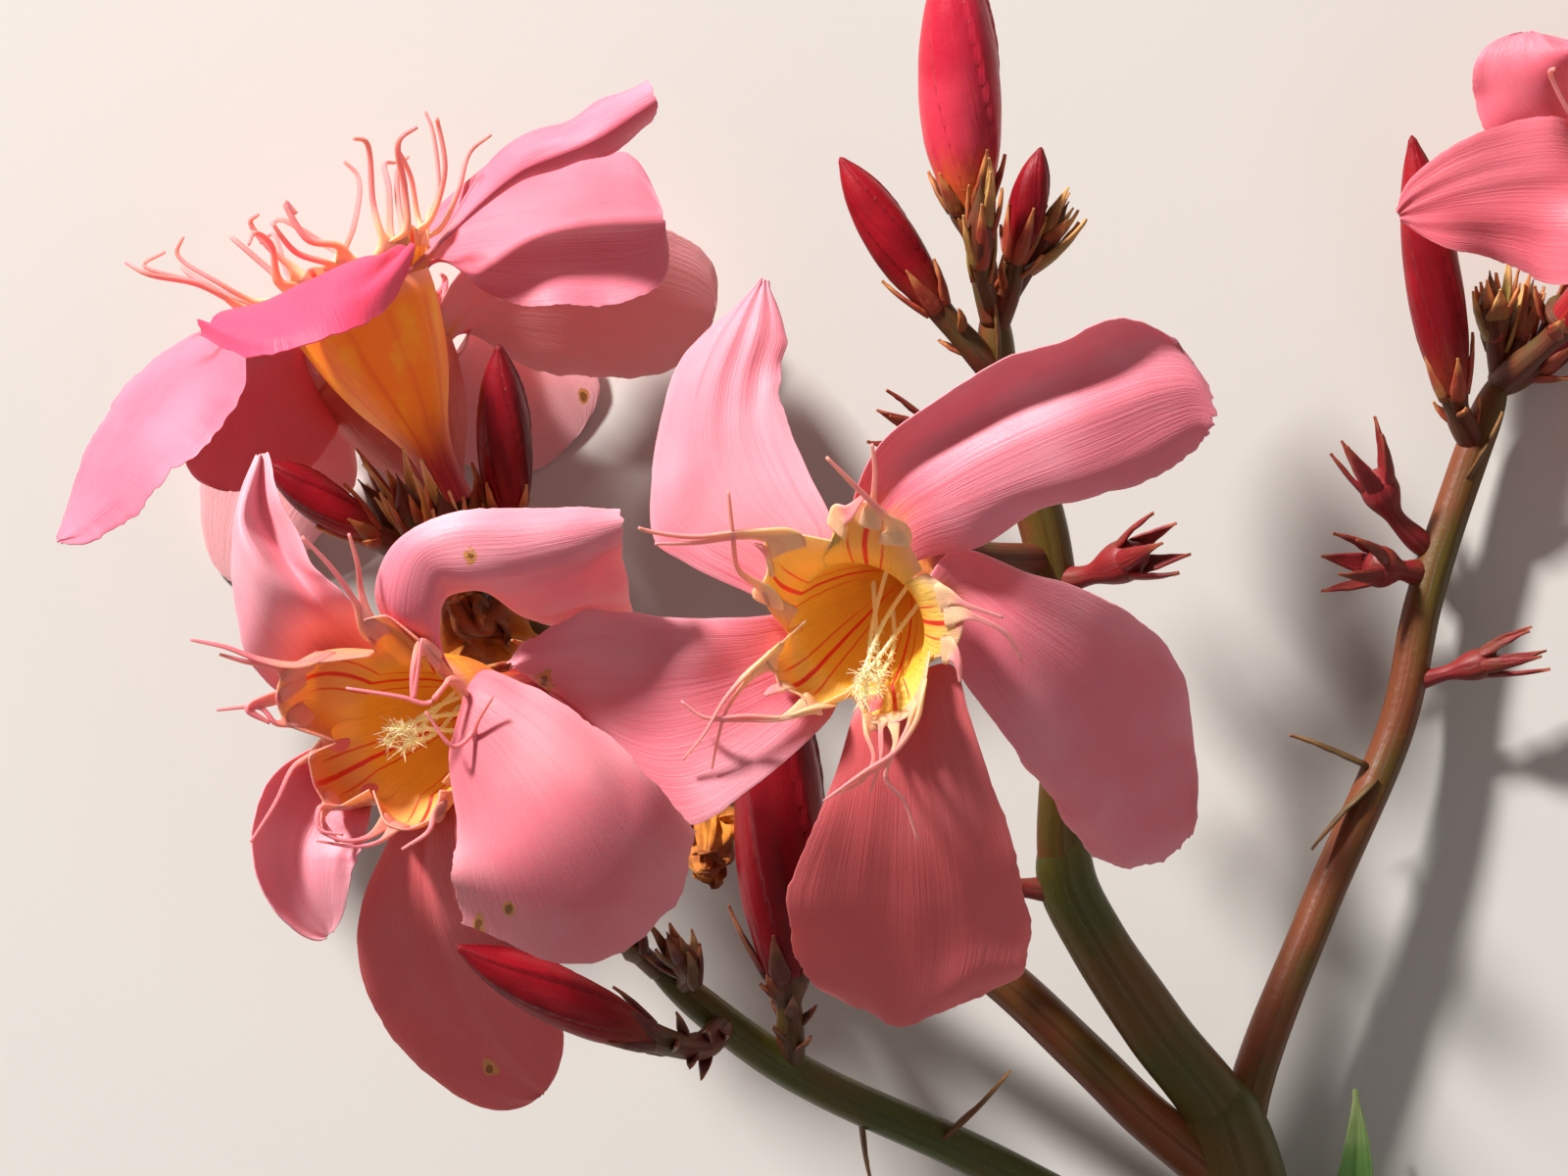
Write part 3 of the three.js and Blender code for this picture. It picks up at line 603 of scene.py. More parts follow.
@dataclass(frozen=True)
class Horn:
    """A strap that a crown tongue narrows into: its root on the tongue and its way on the plan."""

    root: float
    way: tuple[Spot, ...]
    wide: float = 1.0
    thread: float = 0.4
    narrows: float = 0.6

    ROWS = 36
    CELLS = 6
    CUP = 0.3
    SKIN = 0.18

    def add_to(self, shell: Shell, start: Array, look: Array) -> None:
        """Adds the horn to a shell.

        Its half width falls from wide to half of thread by a smooth step that ends at the share
        narrows of its way, and its margins rise by CUP times the half width times v squared.

        Args:
            shell: What it becomes part of.
            start: Points on its tongue that it leaves from.
            look: The way its inner face looks.
        """
        path = Path(np.vstack([start + HORN_LIFT * look, *(seen(spot) for spot in self.way)]))
        share = np.linspace(0, 1, self.ROWS + 1)
        points, tangents = path.at(share)
        normals = unit(look - tangents * (tangents @ look)[:, None])
        across = np.cross(tangents, normals)
        v = np.linspace(-1, 1, self.CELLS + 1)[None, :]
        fall = 1 - smooth(share, 0.2 * self.narrows, self.narrows)
        half = (0.5 * self.thread * (1 - 0.5 * share**3) + (self.wide - 0.5 * self.thread) * fall)[:, None]
        rise = self.CUP * half * v * v * smooth(share, 0.15, 0.5)[:, None]
        aside = (half * v)[..., None] * across[:, None]
        middle = points[:, None] + aside + rise[..., None] * normals[:, None]
        skin = np.minimum(self.SKIN, 0.8 * half) * np.sqrt(1 - 0.9 * v**4)
        lift = np.broadcast_to(normals[:, None], middle.shape)
        add_blade(shell, middle, lift, skin, share[:, None], v, 0, 0.0)


def strand(shell: Shell, knots: Array, radii: tuple[float, float], rows: int = 10, part: float = 0.0,
           sides: int = 6) -> None:
    """Adds a thin thread through points to a shell.

    Its radius falls from the first of radii to the second by the power 0.8 of the way left.

    Args:
        shell: What it becomes part of.
        knots: The points.
        radii: The radius at its foot and at its tip.
        rows: Rings along it.
        part: Its value of the mark part.
        sides: Corners of a ring.
    """
    share = np.linspace(0, 1, rows)
    radius = mixed(radii[1], radii[0], (1 - share) ** 0.8)
    rings, _ = Path(knots).tube(share, radius, sides)
    shell.loft(rings, along=share[:, None], inner=1.0, part=part)


# Shader maths


class Value:
    """A node's output socket, on which arithmetic adds Math nodes."""

    def __init__(self, tree: "Tree", socket: bpy.types.NodeSocket) -> None:
        """Keeps the tree and the socket."""
        self.tree = tree
        self.socket = socket

    def math(self, operation: str, *others: "Value | float") -> "Value":
        """A Math node of this value and others."""
        inputs = dict(enumerate((self, *others)))
        return self.tree.node("ShaderNodeMath", {"operation": operation}, inputs)

    def __add__(self, other: "Value | float") -> "Value":
        """This value plus another."""
        return self.math("ADD", other)

    __radd__ = __add__

    def __sub__(self, other: "Value | float") -> "Value":
        """This value less another."""
        return self.math("SUBTRACT", other)

    def __rsub__(self, other: float) -> "Value":
        """A number less this value."""
        return self.tree.node("ShaderNodeMath", {"operation": "SUBTRACT"}, {0: other, 1: self})

    def __mul__(self, other: "Value | float") -> "Value":
        """This value times another."""
        return self.math("MULTIPLY", other)

    __rmul__ = __mul__

    def ramp(self, low: float, high: float) -> "Value":
        """0 below low, 1 above high, and smooth between them."""
        inputs = {"Value": self, "From Min": low, "From Max": high}
        return self.tree.node("ShaderNodeMapRange", {"interpolation_type": "SMOOTHSTEP"}, inputs)


class Tree:
    """A material's node tree, in which one method makes any node."""

    def __init__(self, name: str) -> None:
        """Makes an empty material.

        Args:
            name: The material's name.
        """
        self.material = bpy.data.materials.new(name)
        self.material.use_nodes = True
        self.nodes = self.material.node_tree.nodes
        self.links = self.material.node_tree.links
        self.nodes.clear()

    def node(self, kind: str, settings: dict | None = None, inputs: dict | None = None,
             output: int | str = 0) -> Value:
        """Makes a node.

        Args:
            kind: The node's type.
            settings: Its own settings, which are set first.
            inputs: Values, colours or links for its sockets, by name or number.
            output: Which of its outputs is wanted.

        Returns:
            That output.
        """
        made = self.nodes.new(kind)
        for key, value in (settings or {}).items():
            setattr(made, key, value)
        for key, value in (inputs or {}).items():
            if isinstance(value, Value):
                self.links.new(value.socket, made.inputs[key])
            elif isinstance(value, tuple) and len(value) == 3 and made.inputs[key].type == "RGBA":
                made.inputs[key].default_value = (*value, 1.0)
            else:
                made.inputs[key].default_value = value
        return Value(self, made.outputs[output])

    def mark(self, name: str) -> Value:
        """The value of one of the piece's marks."""
        return self.node("ShaderNodeAttribute", {"attribute_name": name}, output="Fac")

    def place(self) -> Value:
        """Object coordinates."""
        return self.node("ShaderNodeTexCoord", output="Object")

    def vector(self, x: Value | float, y: Value | float, z: Value | float) -> Value:
        """Three values as one vector."""
        return self.node("ShaderNodeCombineXYZ", None, {0: x, 1: y, 2: z})

    def noise(self, where: Value, scale: float, detail: float = 3.0, rough: float = 0.55) -> Value:
        """Cloudy unevenness from about 0.3 to 0.7."""
        inputs = {"Vector": where, "Scale": scale, "Detail": detail, "Roughness": rough}
        return self.node("ShaderNodeTexNoise", None, inputs, "Fac")

    def blend(self, share: Value | float, first: Value | Colour, second: Value | Colour) -> Value:
        """The first colour at share 0, the second at 1."""
        return self.node("ShaderNodeMix", {"data_type": "RGBA"}, {0: share, 6: first, 7: second}, 2)

    def bump(self, height: Value, distance: float, strength: float,
             under: Value | None = None) -> Value:
        """A relief, on top of another where there is one.

        Args:
            height: Its height, as a share of distance.
            distance: Its full height, in metres.
            strength: How much of it shows.
            under: The relief that it lies on.

        Returns:
            The normal.
        """
        inputs = {"Height": height, "Distance": distance, "Strength": strength}
        if under is not None:
            inputs["Normal"] = under
        return self.node("ShaderNodeBump", None, inputs)

    def finish(self, inputs: dict) -> bpy.types.Material:
        """Ends the tree in one Principled shader.

        Args:
            inputs: Values, colours or links for the shader's sockets.

        Returns:
            The material.
        """
        shader = self.node("ShaderNodeBsdfPrincipled", None, inputs)
        output = self.nodes.new("ShaderNodeOutputMaterial")
        self.links.new(shader.socket, output.inputs["Surface"])
        return self.material


# Finishes


@dataclass(frozen=True)
class PetalFinish:
    """Satin petals: an orange claw that turns pink, fine veins that fan from it, small brown flaws."""

    name: str
    lit: Colour = (0.86, 0.235, 0.30)
    deep: Colour = (0.72, 0.085, 0.14)
    pale: Colour = (0.95, 0.42, 0.50)
    claw: Colour = (0.90, 0.30, 0.06)
    back: Colour = (0.80, 0.19, 0.23)
    brown: Colour = (0.24, 0.10, 0.025)
    straw: Colour = (0.62, 0.27, 0.09)
    # painted shade: the dark red that the mark tone blends in where a petal lies in shade
    painted_shade: Colour = (0.60, 0.075, 0.065)
    blush: Colour = (0.80, 0.05, 0.13)
    flaws: tuple[Spot, ...] = ()

    VEIN_RELIEF = 0.00018
    GRAIN_RELIEF = 0.00003
    FLAW_SQUASH = 0.7
    FLAW_RAGGED = 2.4

    def build(self) -> bpy.types.Material:
        """The material.

        Veins are a noise stretched along the petal, whose place across it is the mark across, so
        that they fan out with it. The claw's colour fades by the mark along. Where the mark tone is
        above 0 it paints shade: the petal turns to a dark red that stands in for the shade it lies in.
        Where it is below 0 the petal turns to blush.

        Returns:
            The material.
        """
        tree = Tree(self.name)
        along, across, part = tree.mark("along"), tree.mark("across"), tree.mark("part")
        inner, tone = tree.mark("inner"), tree.mark("tone")
        aside = across.math("ABSOLUTE")
        vein = tree.noise(tree.vector(across * 11.0, along * 1.3, part * 7.0), 1.0, 3.0, 0.6)
        hair = tree.noise(tree.vector(across * 42.0, along * 3.5, part * 3.0), 1.0, 2.0)
        cloud = tree.noise(tree.place(), 110.0, 2.0, 0.5)
        colour = tree.blend(cloud.ramp(0.32, 0.7) * 0.7, self.lit, self.pale)
        near = 1.0 - along.ramp(0.05, 0.6)
        colour = tree.blend(vein.ramp(0.5, 0.72) * (0.06 + 0.4 * near), colour, self.deep)
        colour = tree.blend(hair.ramp(0.54, 0.8) * 0.16, colour, self.pale)
        colour = tree.blend(aside.ramp(0.86, 1.0) * 0.3, colour, self.pale)
        colour = tree.blend(along.ramp(0.93, 1.0) * 0.3, colour, self.pale)
        colour = tree.blend(near * 0.3, colour, self.deep)
        colour = tree.blend((1.0 - inner) * 0.6, colour, self.back)
        # Painted shade: where the mark tone is above 0 the petal turns dark red, standing in for shade
        colour = tree.blend(tone.math("MAXIMUM", 0.0), colour, self.painted_shade)
        colour = tree.blend((tone * -1.0).math("MAXIMUM", 0.0), colour, self.blush)
        streak = along + (vein - 0.5) * 0.2 + 0.12 * aside
        colour = tree.blend(1.0 - streak.ramp(0.02, 0.2), colour, self.claw)
        colour = self.add_flaws(tree, colour)
        grain = tree.noise(tree.place(), 5200.0, 2.0)
        relief = tree.bump(grain, self.GRAIN_RELIEF, 0.6)
        relief = tree.bump(vein * 0.5 + hair * 0.5, self.VEIN_RELIEF, 0.55, relief)
        return tree.finish({
            "Base Color": colour, "Roughness": 0.36 + 0.3 * grain, "Normal": relief,
            "Subsurface Weight": 0.25, "Subsurface Scale": 0.0015, "Subsurface Radius": (1.0, 0.25, 0.2),
            "Specular IOR Level": 0.42,
        })

    def add_flaws(self, tree: Tree, colour: Value) -> Value:
        """Draws each flaw as an uneven straw-coloured mark with brown in it.

        Args:
            tree: The material's tree.
            colour: The colour under the flaws.

        Returns:
            The colour with the flaws, each given as its place on the plan and its radius.
        """
        squash = (1.0, self.FLAW_SQUASH, 0.0)
        flat = tree.node("ShaderNodeVectorMath", {"operation": "MULTIPLY"}, {0: tree.place(), 1: squash})
        jagged = tree.noise(tree.place(), 1300.0, 2.0) - 0.5
        for x, y, radius in self.flaws:
            spot = (seen((x, y, PLAN_HEIGHT)) + PLAN_SHIFT) * MILLIMETRE
            middle = (float(spot[0]), self.FLAW_SQUASH * float(spot[1]), 0.0)
            ends = {0: flat, 1: middle}
            away = tree.node("ShaderNodeVectorMath", {"operation": "DISTANCE"}, ends, "Value")
            reach = radius * MILLIMETRE
            uneven = away + jagged * (self.FLAW_RAGGED * reach)
            colour = tree.blend(1.0 - uneven.ramp(0.8 * reach, reach), colour, self.straw)
            colour = tree.blend(1.0 - uneven.ramp(0.25 * reach, 0.5 * reach), colour, self.brown)
        return colour


@dataclass(frozen=True)
class FunnelFinish:
    """The funnel: amber outside with a few red veins and a dark red foot, orange inside."""

    name: str = "funnel_skin"
    foot: Colour = (0.30, 0.012, 0.018)
    amber: Colour = (0.95, 0.22, 0.012)
    yellow: Colour = (0.92, 0.34, 0.015)
    depth: Colour = (0.60, 0.15, 0.008)
    vein: Colour = (0.55, 0.05, 0.015)
    rim: Colour = (0.86, 0.26, 0.16)
    # painted_glow: the funnel gives off a little light of its own colour, a painted glow that stands in for
    # light shining through its thin wall
    painted_glow: float = 0.2

    def build(self) -> bpy.types.Material:
        """The material.

        The mark across counts the petals round the funnel, so a vein runs up the middle of each,
        where it is whole, and a fainter one between them.

        Returns:
            The material.
        """
        tree = Tree(self.name)
        along, across, inner = tree.mark("along"), tree.mark("across"), tree.mark("inner")
        wander = (tree.noise(tree.place(), 300.0, 2.0) - 0.5) * 0.10
        middle = ((across + wander + 0.5).math("FRACT") - 0.5).math("ABSOLUTE")
        line = 1.0 - middle.ramp(0.02, 0.06)
        line = line + (1.0 - (middle - 0.5).math("ABSOLUTE").ramp(0.01, 0.06)) * 0.7
        cloud = tree.noise(tree.vector(across * 1.2, along * 2.0, 0.0), 2.0)
        outside = tree.blend((along + (cloud - 0.5) * 0.2).ramp(0.16, 0.5), self.foot, self.amber)
        outside = tree.blend(cloud.ramp(0.46, 0.7) * along.ramp(0.3, 0.6), outside, self.yellow)
        outside = tree.blend(line * (0.6 - 0.4 * along), outside, self.vein)
        outside = tree.blend(along.ramp(0.88, 1.0), outside, self.rim)
        colour = tree.blend(inner, outside, self.depth)
        grain = tree.noise(tree.vector(across * 7.0, along * 2.0, 0.0), 3.0)
        relief = tree.bump(grain, 0.0002, 0.4)
        return tree.finish({
            "Base Color": colour, "Roughness": 0.36 + 0.2 * cloud, "Normal": relief,
            "Subsurface Weight": 0.3, "Subsurface Scale": 0.0015, "Subsurface Radius": (1.0, 0.4, 0.1),
            "Emission Color": colour, "Emission Strength": self.painted_glow,
        })


@dataclass(frozen=True)
class CrownFinish:
    """The crown: a golden throat with red guides, whose tongues turn cream and their threads pink."""

    name: str
    depth: Colour = (0.62, 0.17, 0.008)
    gold: Colour = (0.82, 0.38, 0.03)
    yellow: Colour = (0.92, 0.50, 0.10)
    cream: Colour = (0.90, 0.45, 0.25)
    pink: Colour = (0.84, 0.24, 0.26)
    line: Colour = (0.72, 0.025, 0.015)
    unlit: Colour = (0.03, 0.02, 0.01)
    # painted_glow: the throat's depth, the horns and the threads give off a little light of their own
    # colour, standing in for light shining through them
    painted_glow: float = 0.12

    def build(self) -> bpy.types.Material:
        """The material.

        Where the mark part is LINING_PART it is the throat's lining, coloured by the mark along from
        the depth to the tongue's margin, with a bold guide up the middle and a thin one on either
        side. Elsewhere it is a horn, cream at its root and pink where it is a thread. The deep part
        of the lining, the horns and the threads have a painted glow: they give off a little light of
        their own colour, which stands in for light that shines through them.

        Returns:
            The material.
        """
        tree = Tree(self.name)
        along, across, part = tree.mark("along"), tree.mark("across"), tree.mark("part")
        cloud = tree.noise(tree.place(), 420.0, 2.0)
        drift = along + (cloud - 0.5) * 0.2
        lining = tree.blend(drift.ramp(0.08, 0.42), self.depth, self.gold)
        lining = tree.blend(drift.ramp(0.48, 0.74), lining, self.yellow)
        lining = tree.blend(drift.ramp(0.76, 0.98), lining, self.cream)
        wander = across + (cloud - 0.5) * 0.07
        aside = wander.math("ABSOLUTE")
        bold = 1.0 - aside.ramp(0.03, 0.075)
        thin = (1.0 - (aside - 0.34).math("ABSOLUTE").ramp(0.012, 0.04)) * along.ramp(0.2, 0.35)
        thin = thin * (1.0 - along.ramp(0.7, 0.86)) * 0.8
        lining = tree.blend((bold + thin) * along.ramp(0.1, 0.26), lining, self.line)
        tooth = (1.0 - aside.ramp(0.05, 0.3)) * along.ramp(0.9, 1.0)
        lining = tree.blend(tooth * 0.8, lining, self.pink)
        horn = tree.blend(drift.ramp(0.3, 0.62), self.cream, self.pink)
        streaks = tree.noise(tree.vector(across * 3.0, along * 2.0, part), 2.0, 2.0)
        horn = tree.blend(streaks.ramp(0.5, 0.75) * 0.25, horn, self.yellow)
        is_lining = part.ramp(LINING_PART - 0.6, LINING_PART - 0.4)
        colour = tree.blend(is_lining, horn, lining)
        # The colour of the painted glow: the piece's own colour, but the near-black unlit colour on the
        # outer part of the lining, which doesn't glow
        lamp = tree.blend(along.ramp(0.52, 0.8) * is_lining, colour, self.unlit)
        grain = tree.noise(tree.vector(across * 8.0, along * 3.0, part), 2.0, 2.0)
        relief = tree.bump(grain, 0.0002, 0.5)
        return tree.finish({
            "Base Color": colour, "Roughness": 0.42 + 0.14 * cloud, "Normal": relief,
            "Subsurface Weight": 0.45, "Subsurface Scale": 0.002, "Subsurface Radius": (1.0, 0.55, 0.2),
            "Emission Color": lamp, "Emission Strength": self.painted_glow,
        })


@dataclass(frozen=True)
class SkinFinish:
    """Plant skin in two tones with fine lengthwise ridges: stems, stalks, sepals, buds."""

    name: str
    main: Colour
    second: Colour
    tip: Colour
    shade: Colour
    roughness: float = 0.5
    ridges: float = 18.0
    relief: float = 0.0002
    tip_from: float = 0.75
    spread: float = 220.0
    reddening_and_painted_light: float = 0.0
    streaks: float = 0.4
    seam: float = 0.0
    base: Colour | None = None
    gloss: float = 0.4

    def build(self) -> bpy.types.Material:
        """The material: clouds of the second tone, streaks of the shade, and the tip's own tone.

        A band of the second tone runs along the side where the mark across is 0.5: partly the
        skin's own reddening, and partly painted light, a lighter band down one side of a dark bud.
        The seam is a line of the shade where the mark across nears 1, and the base is the tone at
        the foot.

        Returns:
            The material.
        """
        tree = Tree(self.name)
        along, across, part = tree.mark("along"), tree.mark("across"), tree.mark("part")
        cloud = tree.noise(tree.place(), self.spread, 3.0, 0.6)
        streak = tree.noise(tree.vector(across * self.ridges, along * 3.0, part * 5.0), 1.0, 3.0)
        speck = tree.noise(tree.place(), 1800.0, 2.0)
        # Painted light and reddening: a band of the second tone down one side of the piece
        reddened_and_lit_band = (1.0 - (across - 0.5).math("ABSOLUTE").ramp(0.1, 0.6)) * self.reddening_and_painted_light
        second = (cloud + reddened_and_lit_band).ramp(0.42, 0.66)
        colour = tree.blend(second, self.main, self.second)
        if self.base is not None:
            colour = tree.blend(1.0 - (along + (streak - 0.5) * 0.3).ramp(0.03, 0.34), colour, self.base)
        colour = tree.blend(streak.ramp(0.5, 0.72) * self.streaks, colour, self.shade)
        colour = tree.blend(across.ramp(0.84, 1.0) * self.seam, colour, self.shade)
        colour = tree.blend(speck.ramp(0.62, 0.78) * 0.2, colour, self.tip)
        near_tip = (along + (cloud - 0.5) * 0.3).ramp(self.tip_from, self.tip_from + 0.25)
        colour = tree.blend(near_tip, colour, self.tip)
        relief = tree.bump(speck, 0.00006, 0.5)
        relief = tree.bump(streak, self.relief, 0.7, relief)
        return tree.finish({
            "Base Color": colour, "Roughness": self.roughness + 0.2 * (speck - 0.5), "Normal": relief,
            "Subsurface Weight": 0.08, "Subsurface Scale": 0.0008, "Specular IOR Level": self.gloss,
        })


@dataclass(frozen=True)
class FloorFinish:
    """The plain pale floor."""

    name: str = "pale_floor"
    tone: Colour = (0.62, 0.61, 0.58)

    def build(self) -> bpy.types.Material:
        """The material: matte, very faintly uneven.

        Returns:
            The material.
        """
        tree = Tree(self.name)
        cloud = tree.noise(tree.place(), 4.0, 2.0)
        colour = tree.blend(cloud, self.tone, tuple(0.97 * c for c in self.tone))
        return tree.finish({"Base Color": colour, "Roughness": 0.9, "Specular IOR Level": 0.2})


Finish = PetalFinish | FunnelFinish | CrownFinish | SkinFinish


@dataclass
class Workshop:
    """Makes each piece an object that rides on the part, and keeps the finishes."""

    finishes: dict[str, bpy.types.Material] = field(default_factory=dict)
    made: int = 0

    def wear(self, finish: Finish) -> bpy.types.Material:
        """The material of a finish, which is made once.

        Args:
            finish: The finish.

        Returns:
            The material.
        """
        if finish.name not in self.finishes:
            self.finishes[finish.name] = finish.build()
        return self.finishes[finish.name]

    def piece(self, name: str, shell: Shell, wears: list[Finish], slot: Slot, *nodes: str) -> None:
        """Builds a piece and ties it to the part.

        Args:
            name: The piece's name.
            shell: Its mesh.
            wears: Its finishes, by number.
            slot: The record's slot it belongs to; not used.
            nodes: The solids it stands for.
        """
        thing = shell.build(name, [self.wear(finish) for finish in wears])
        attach(thing, "root")
        for node in nodes:
            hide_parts(node)
        self.made += 1
        LOG.info("%s: %d faces", name, len(thing.data.polygons))


PINK = PetalFinish("petal_pink", flaws=((-16.1, -6.3, 0.6),))
SALMON = PetalFinish(
    "petal_salmon", lit=(0.84, 0.235, 0.31), deep=(0.70, 0.09, 0.15), pale=(0.95, 0.44, 0.50),
    flaws=((-20.9, 2.1, 0.42), (-18.5, -21.5, 0.4), (-20.5, -22.6, 0.5), (-20.3, -33.2, 0.5)),
)
ROSE = PetalFinish(
    "petal_rose", lit=(0.80, 0.15, 0.23), deep=(0.64, 0.045, 0.11), pale=(0.90, 0.27, 0.37),
    back=(0.84, 0.18, 0.25),
)
# Pale pink petals painted lighter still: painted light for bloom_back, which lies in the upper bloom's shade
SHELL_PINK_PAINTED_LIT = PetalFinish(
    "petal_shell_pink_painted_lit", lit=(0.96, 0.42, 0.45), pale=(0.98, 0.54, 0.56), back=(0.96, 0.45, 0.48),
    flaws=((-14.5, 13.9, 0.4),),
)
FUNNEL = FunnelFinish()
FUNNEL_SHADED = FunnelFinish("funnel_shaded", amber=(0.62, 0.11, 0.08), yellow=(0.70, 0.16, 0.10), painted_glow=0.0)
CROWN = CrownFinish("crown_cream")
CROWN_ROSE = CrownFinish(
    "crown_rose", cream=(0.86, 0.26, 0.20), yellow=(0.88, 0.36, 0.11), pink=(0.80, 0.17, 0.22),
)
DOWN = CrownFinish(
    "stamen_down", cream=(0.92, 0.80, 0.36), yellow=(0.90, 0.74, 0.24), pink=(0.94, 0.85, 0.46),
)
BARK = SkinFinish(
    "stem_bark", main=(0.10, 0.068, 0.010), second=(0.175, 0.045, 0.014), tip=(0.26, 0.18, 0.05),
    shade=(0.045, 0.026, 0.008), roughness=0.42, ridges=7.0, relief=0.00012, tip_from=4.0, spread=70.0,
    reddening_and_painted_light=0.14, streaks=0.3, gloss=0.32,
)
BARK_GREEN = SkinFinish(
    "stem_bark_green", main=(0.072, 0.080, 0.012), second=(0.14, 0.070, 0.016), tip=(0.26, 0.24, 0.05),
    shade=(0.026, 0.026, 0.007), roughness=0.42, ridges=7.0, relief=0.00012, tip_from=4.0, spread=60.0,
    streaks=0.3, gloss=0.32,
)
BRACT = SkinFinish(
    "bract_skin", main=(0.13, 0.070, 0.022), second=(0.17, 0.05, 0.018), tip=(0.28, 0.14, 0.05),
    shade=(0.05, 0.025, 0.01), ridges=3.0, tip_from=0.6,
)
STALK = SkinFinish(
    "stalk_skin", main=(0.15, 0.036, 0.014), second=(0.10, 0.060, 0.014), tip=(0.24, 0.08, 0.03),
    shade=(0.05, 0.013, 0.008), tip_from=2.0,
)
BUD = SkinFinish(
    "bud_crimson", main=(0.19, 0.003, 0.008), second=(0.32, 0.006, 0.014), tip=(0.12, 0.003, 0.006),
    shade=(0.05, 0.002, 0.003), roughness=0.42, ridges=3.0, relief=0.0001, tip_from=0.94, spread=90.0,
    streaks=0.16, seam=0.8, base=(0.24, 0.03, 0.012), gloss=0.2,
)
BUD_PINK = SkinFinish(
    "bud_pink", main=(0.50, 0.014, 0.040), second=(0.64, 0.040, 0.075), tip=(0.46, 0.03, 0.06),
    shade=(0.30, 0.005, 0.015), roughness=0.36, ridges=3.0, relief=0.0001, tip_from=0.96, spread=80.0,
    streaks=0.14, seam=0.75, base=(0.62, 0.13, 0.02), gloss=0.3,
)
# Dark crimson buds, darkened further as painted shade where a bud lies in shade; the band down one side is
# painted light
BUD_DARK_PAINTED_SHADE = SkinFinish(
    "bud_dark_painted_shade", main=(0.095, 0.003, 0.006), second=(0.22, 0.006, 0.012), tip=(0.07, 0.003, 0.005),
    shade=(0.05, 0.002, 0.004), roughness=0.36, ridges=3.0, relief=0.0001, tip_from=0.94, spread=90.0,
    reddening_and_painted_light=0.2, streaks=0.2, seam=0.8, gloss=0.22,
)
SEPAL = SkinFinish(
    "sepal_russet", main=(0.34, 0.050, 0.024), second=(0.28, 0.11, 0.03), tip=(0.58, 0.22, 0.07),
    shade=(0.16, 0.020, 0.012), ridges=3.0, tip_from=0.6,
)
SEPAL_GREEN = SkinFinish(
    "sepal_green", main=(0.30, 0.21, 0.045), second=(0.34, 0.085, 0.035), tip=(0.68, 0.38, 0.13),
    shade=(0.15, 0.075, 0.018), ridges=3.0, tip_from=0.6,
)
# Dark calyx skin, darkened as painted shade for calyxes that lie in shade
SEPAL_DARK_PAINTED_SHADE = SkinFinish(
    "sepal_dark_painted_shade", main=(0.12, 0.018, 0.014), second=(0.13, 0.050, 0.020), tip=(0.26, 0.09, 0.04),
    shade=(0.05, 0.010, 0.008), ridges=3.0, tip_from=0.6,
)
# Yellow-green sepals painted lighter: painted light for young buds that lie in the upper bloom's shadow
SEPAL_YELLOW_PAINTED_LIT = SkinFinish(
    "sepal_yellow_painted_lit", main=(0.80, 0.50, 0.15), second=(0.82, 0.28, 0.12), tip=(0.94, 0.64, 0.30),
    shade=(0.46, 0.18, 0.06), ridges=3.0, tip_from=0.6,
)
SPENT = SkinFinish(
    "spent_red", main=(0.24, 0.014, 0.016), second=(0.17, 0.030, 0.013), tip=(0.34, 0.07, 0.03),
    shade=(0.09, 0.006, 0.006), ridges=4.0,
)
DRY = SkinFinish(
    "dried_petals", main=(0.26, 0.065, 0.012), second=(0.62, 0.22, 0.02), tip=(0.14, 0.036, 0.010),
    shade=(0.08, 0.022, 0.008), roughness=0.7, ridges=5.0, relief=0.0006, spread=260.0,
)
LEAF_SKIN = SkinFinish(
    "leaf_skin", main=(0.14, 0.30, 0.07), second=(0.22, 0.40, 0.11), tip=(0.30, 0.40, 0.15),
    shade=(0.08, 0.18, 0.04), ridges=9.0, roughness=0.42,
)


# Blooms


@dataclass(frozen=True)
class Petal:
    """One petal: places on the plan, and the shape of its two halves seen from the throat."""

    bend: Spot
    tip: Spot
    face: Spot
    wide: tuple[float, float]
    curl: tuple[float, float]
    peak: tuple[float, float]
    blunt: float
    ruffle: float = 0.5
    ragged: float = 0.018
    groove: float = 0.2
    # Above 0, tone paints shade on the petal; below 0 it turns the petal to blush.
    tone: float = 0.0

    def blade(self, bloom: "Bloom", index: int, seed: int) -> Sheet:
        """The petal as a blade that leaves its root on the rim.

        Args:
            bloom: The bloom it belongs to.
            index: Which of the bloom's petals it is.
            seed: Picks its unevenness.

        Returns:
            The blade.
        """
        right, up = bloom.across()
        radial = leaning(right, up, math.radians(bloom.turn) + index / PETAL_COUNT * TURN)
        lead = leaning(bloom.axis, radial, PETAL_FLARE)
        return Sheet(
            root=bloom.rim + radial * (RIM_RADIUS - 0.5 * FUNNEL_WALL) - lead * PETAL_SINK, lead=lead,
            bend=seen(self.bend), tip=seen(self.tip), centre=bloom.rim + bloom.axis * FACE_AHEAD,
            face=unit(np.array(self.face, float)), wide=self.wide, curl=self.curl, peak=self.peak,
            blunt=self.blunt, ruffle=self.ruffle, ragged=self.ragged, groove=self.groove, seed=seed,
        )


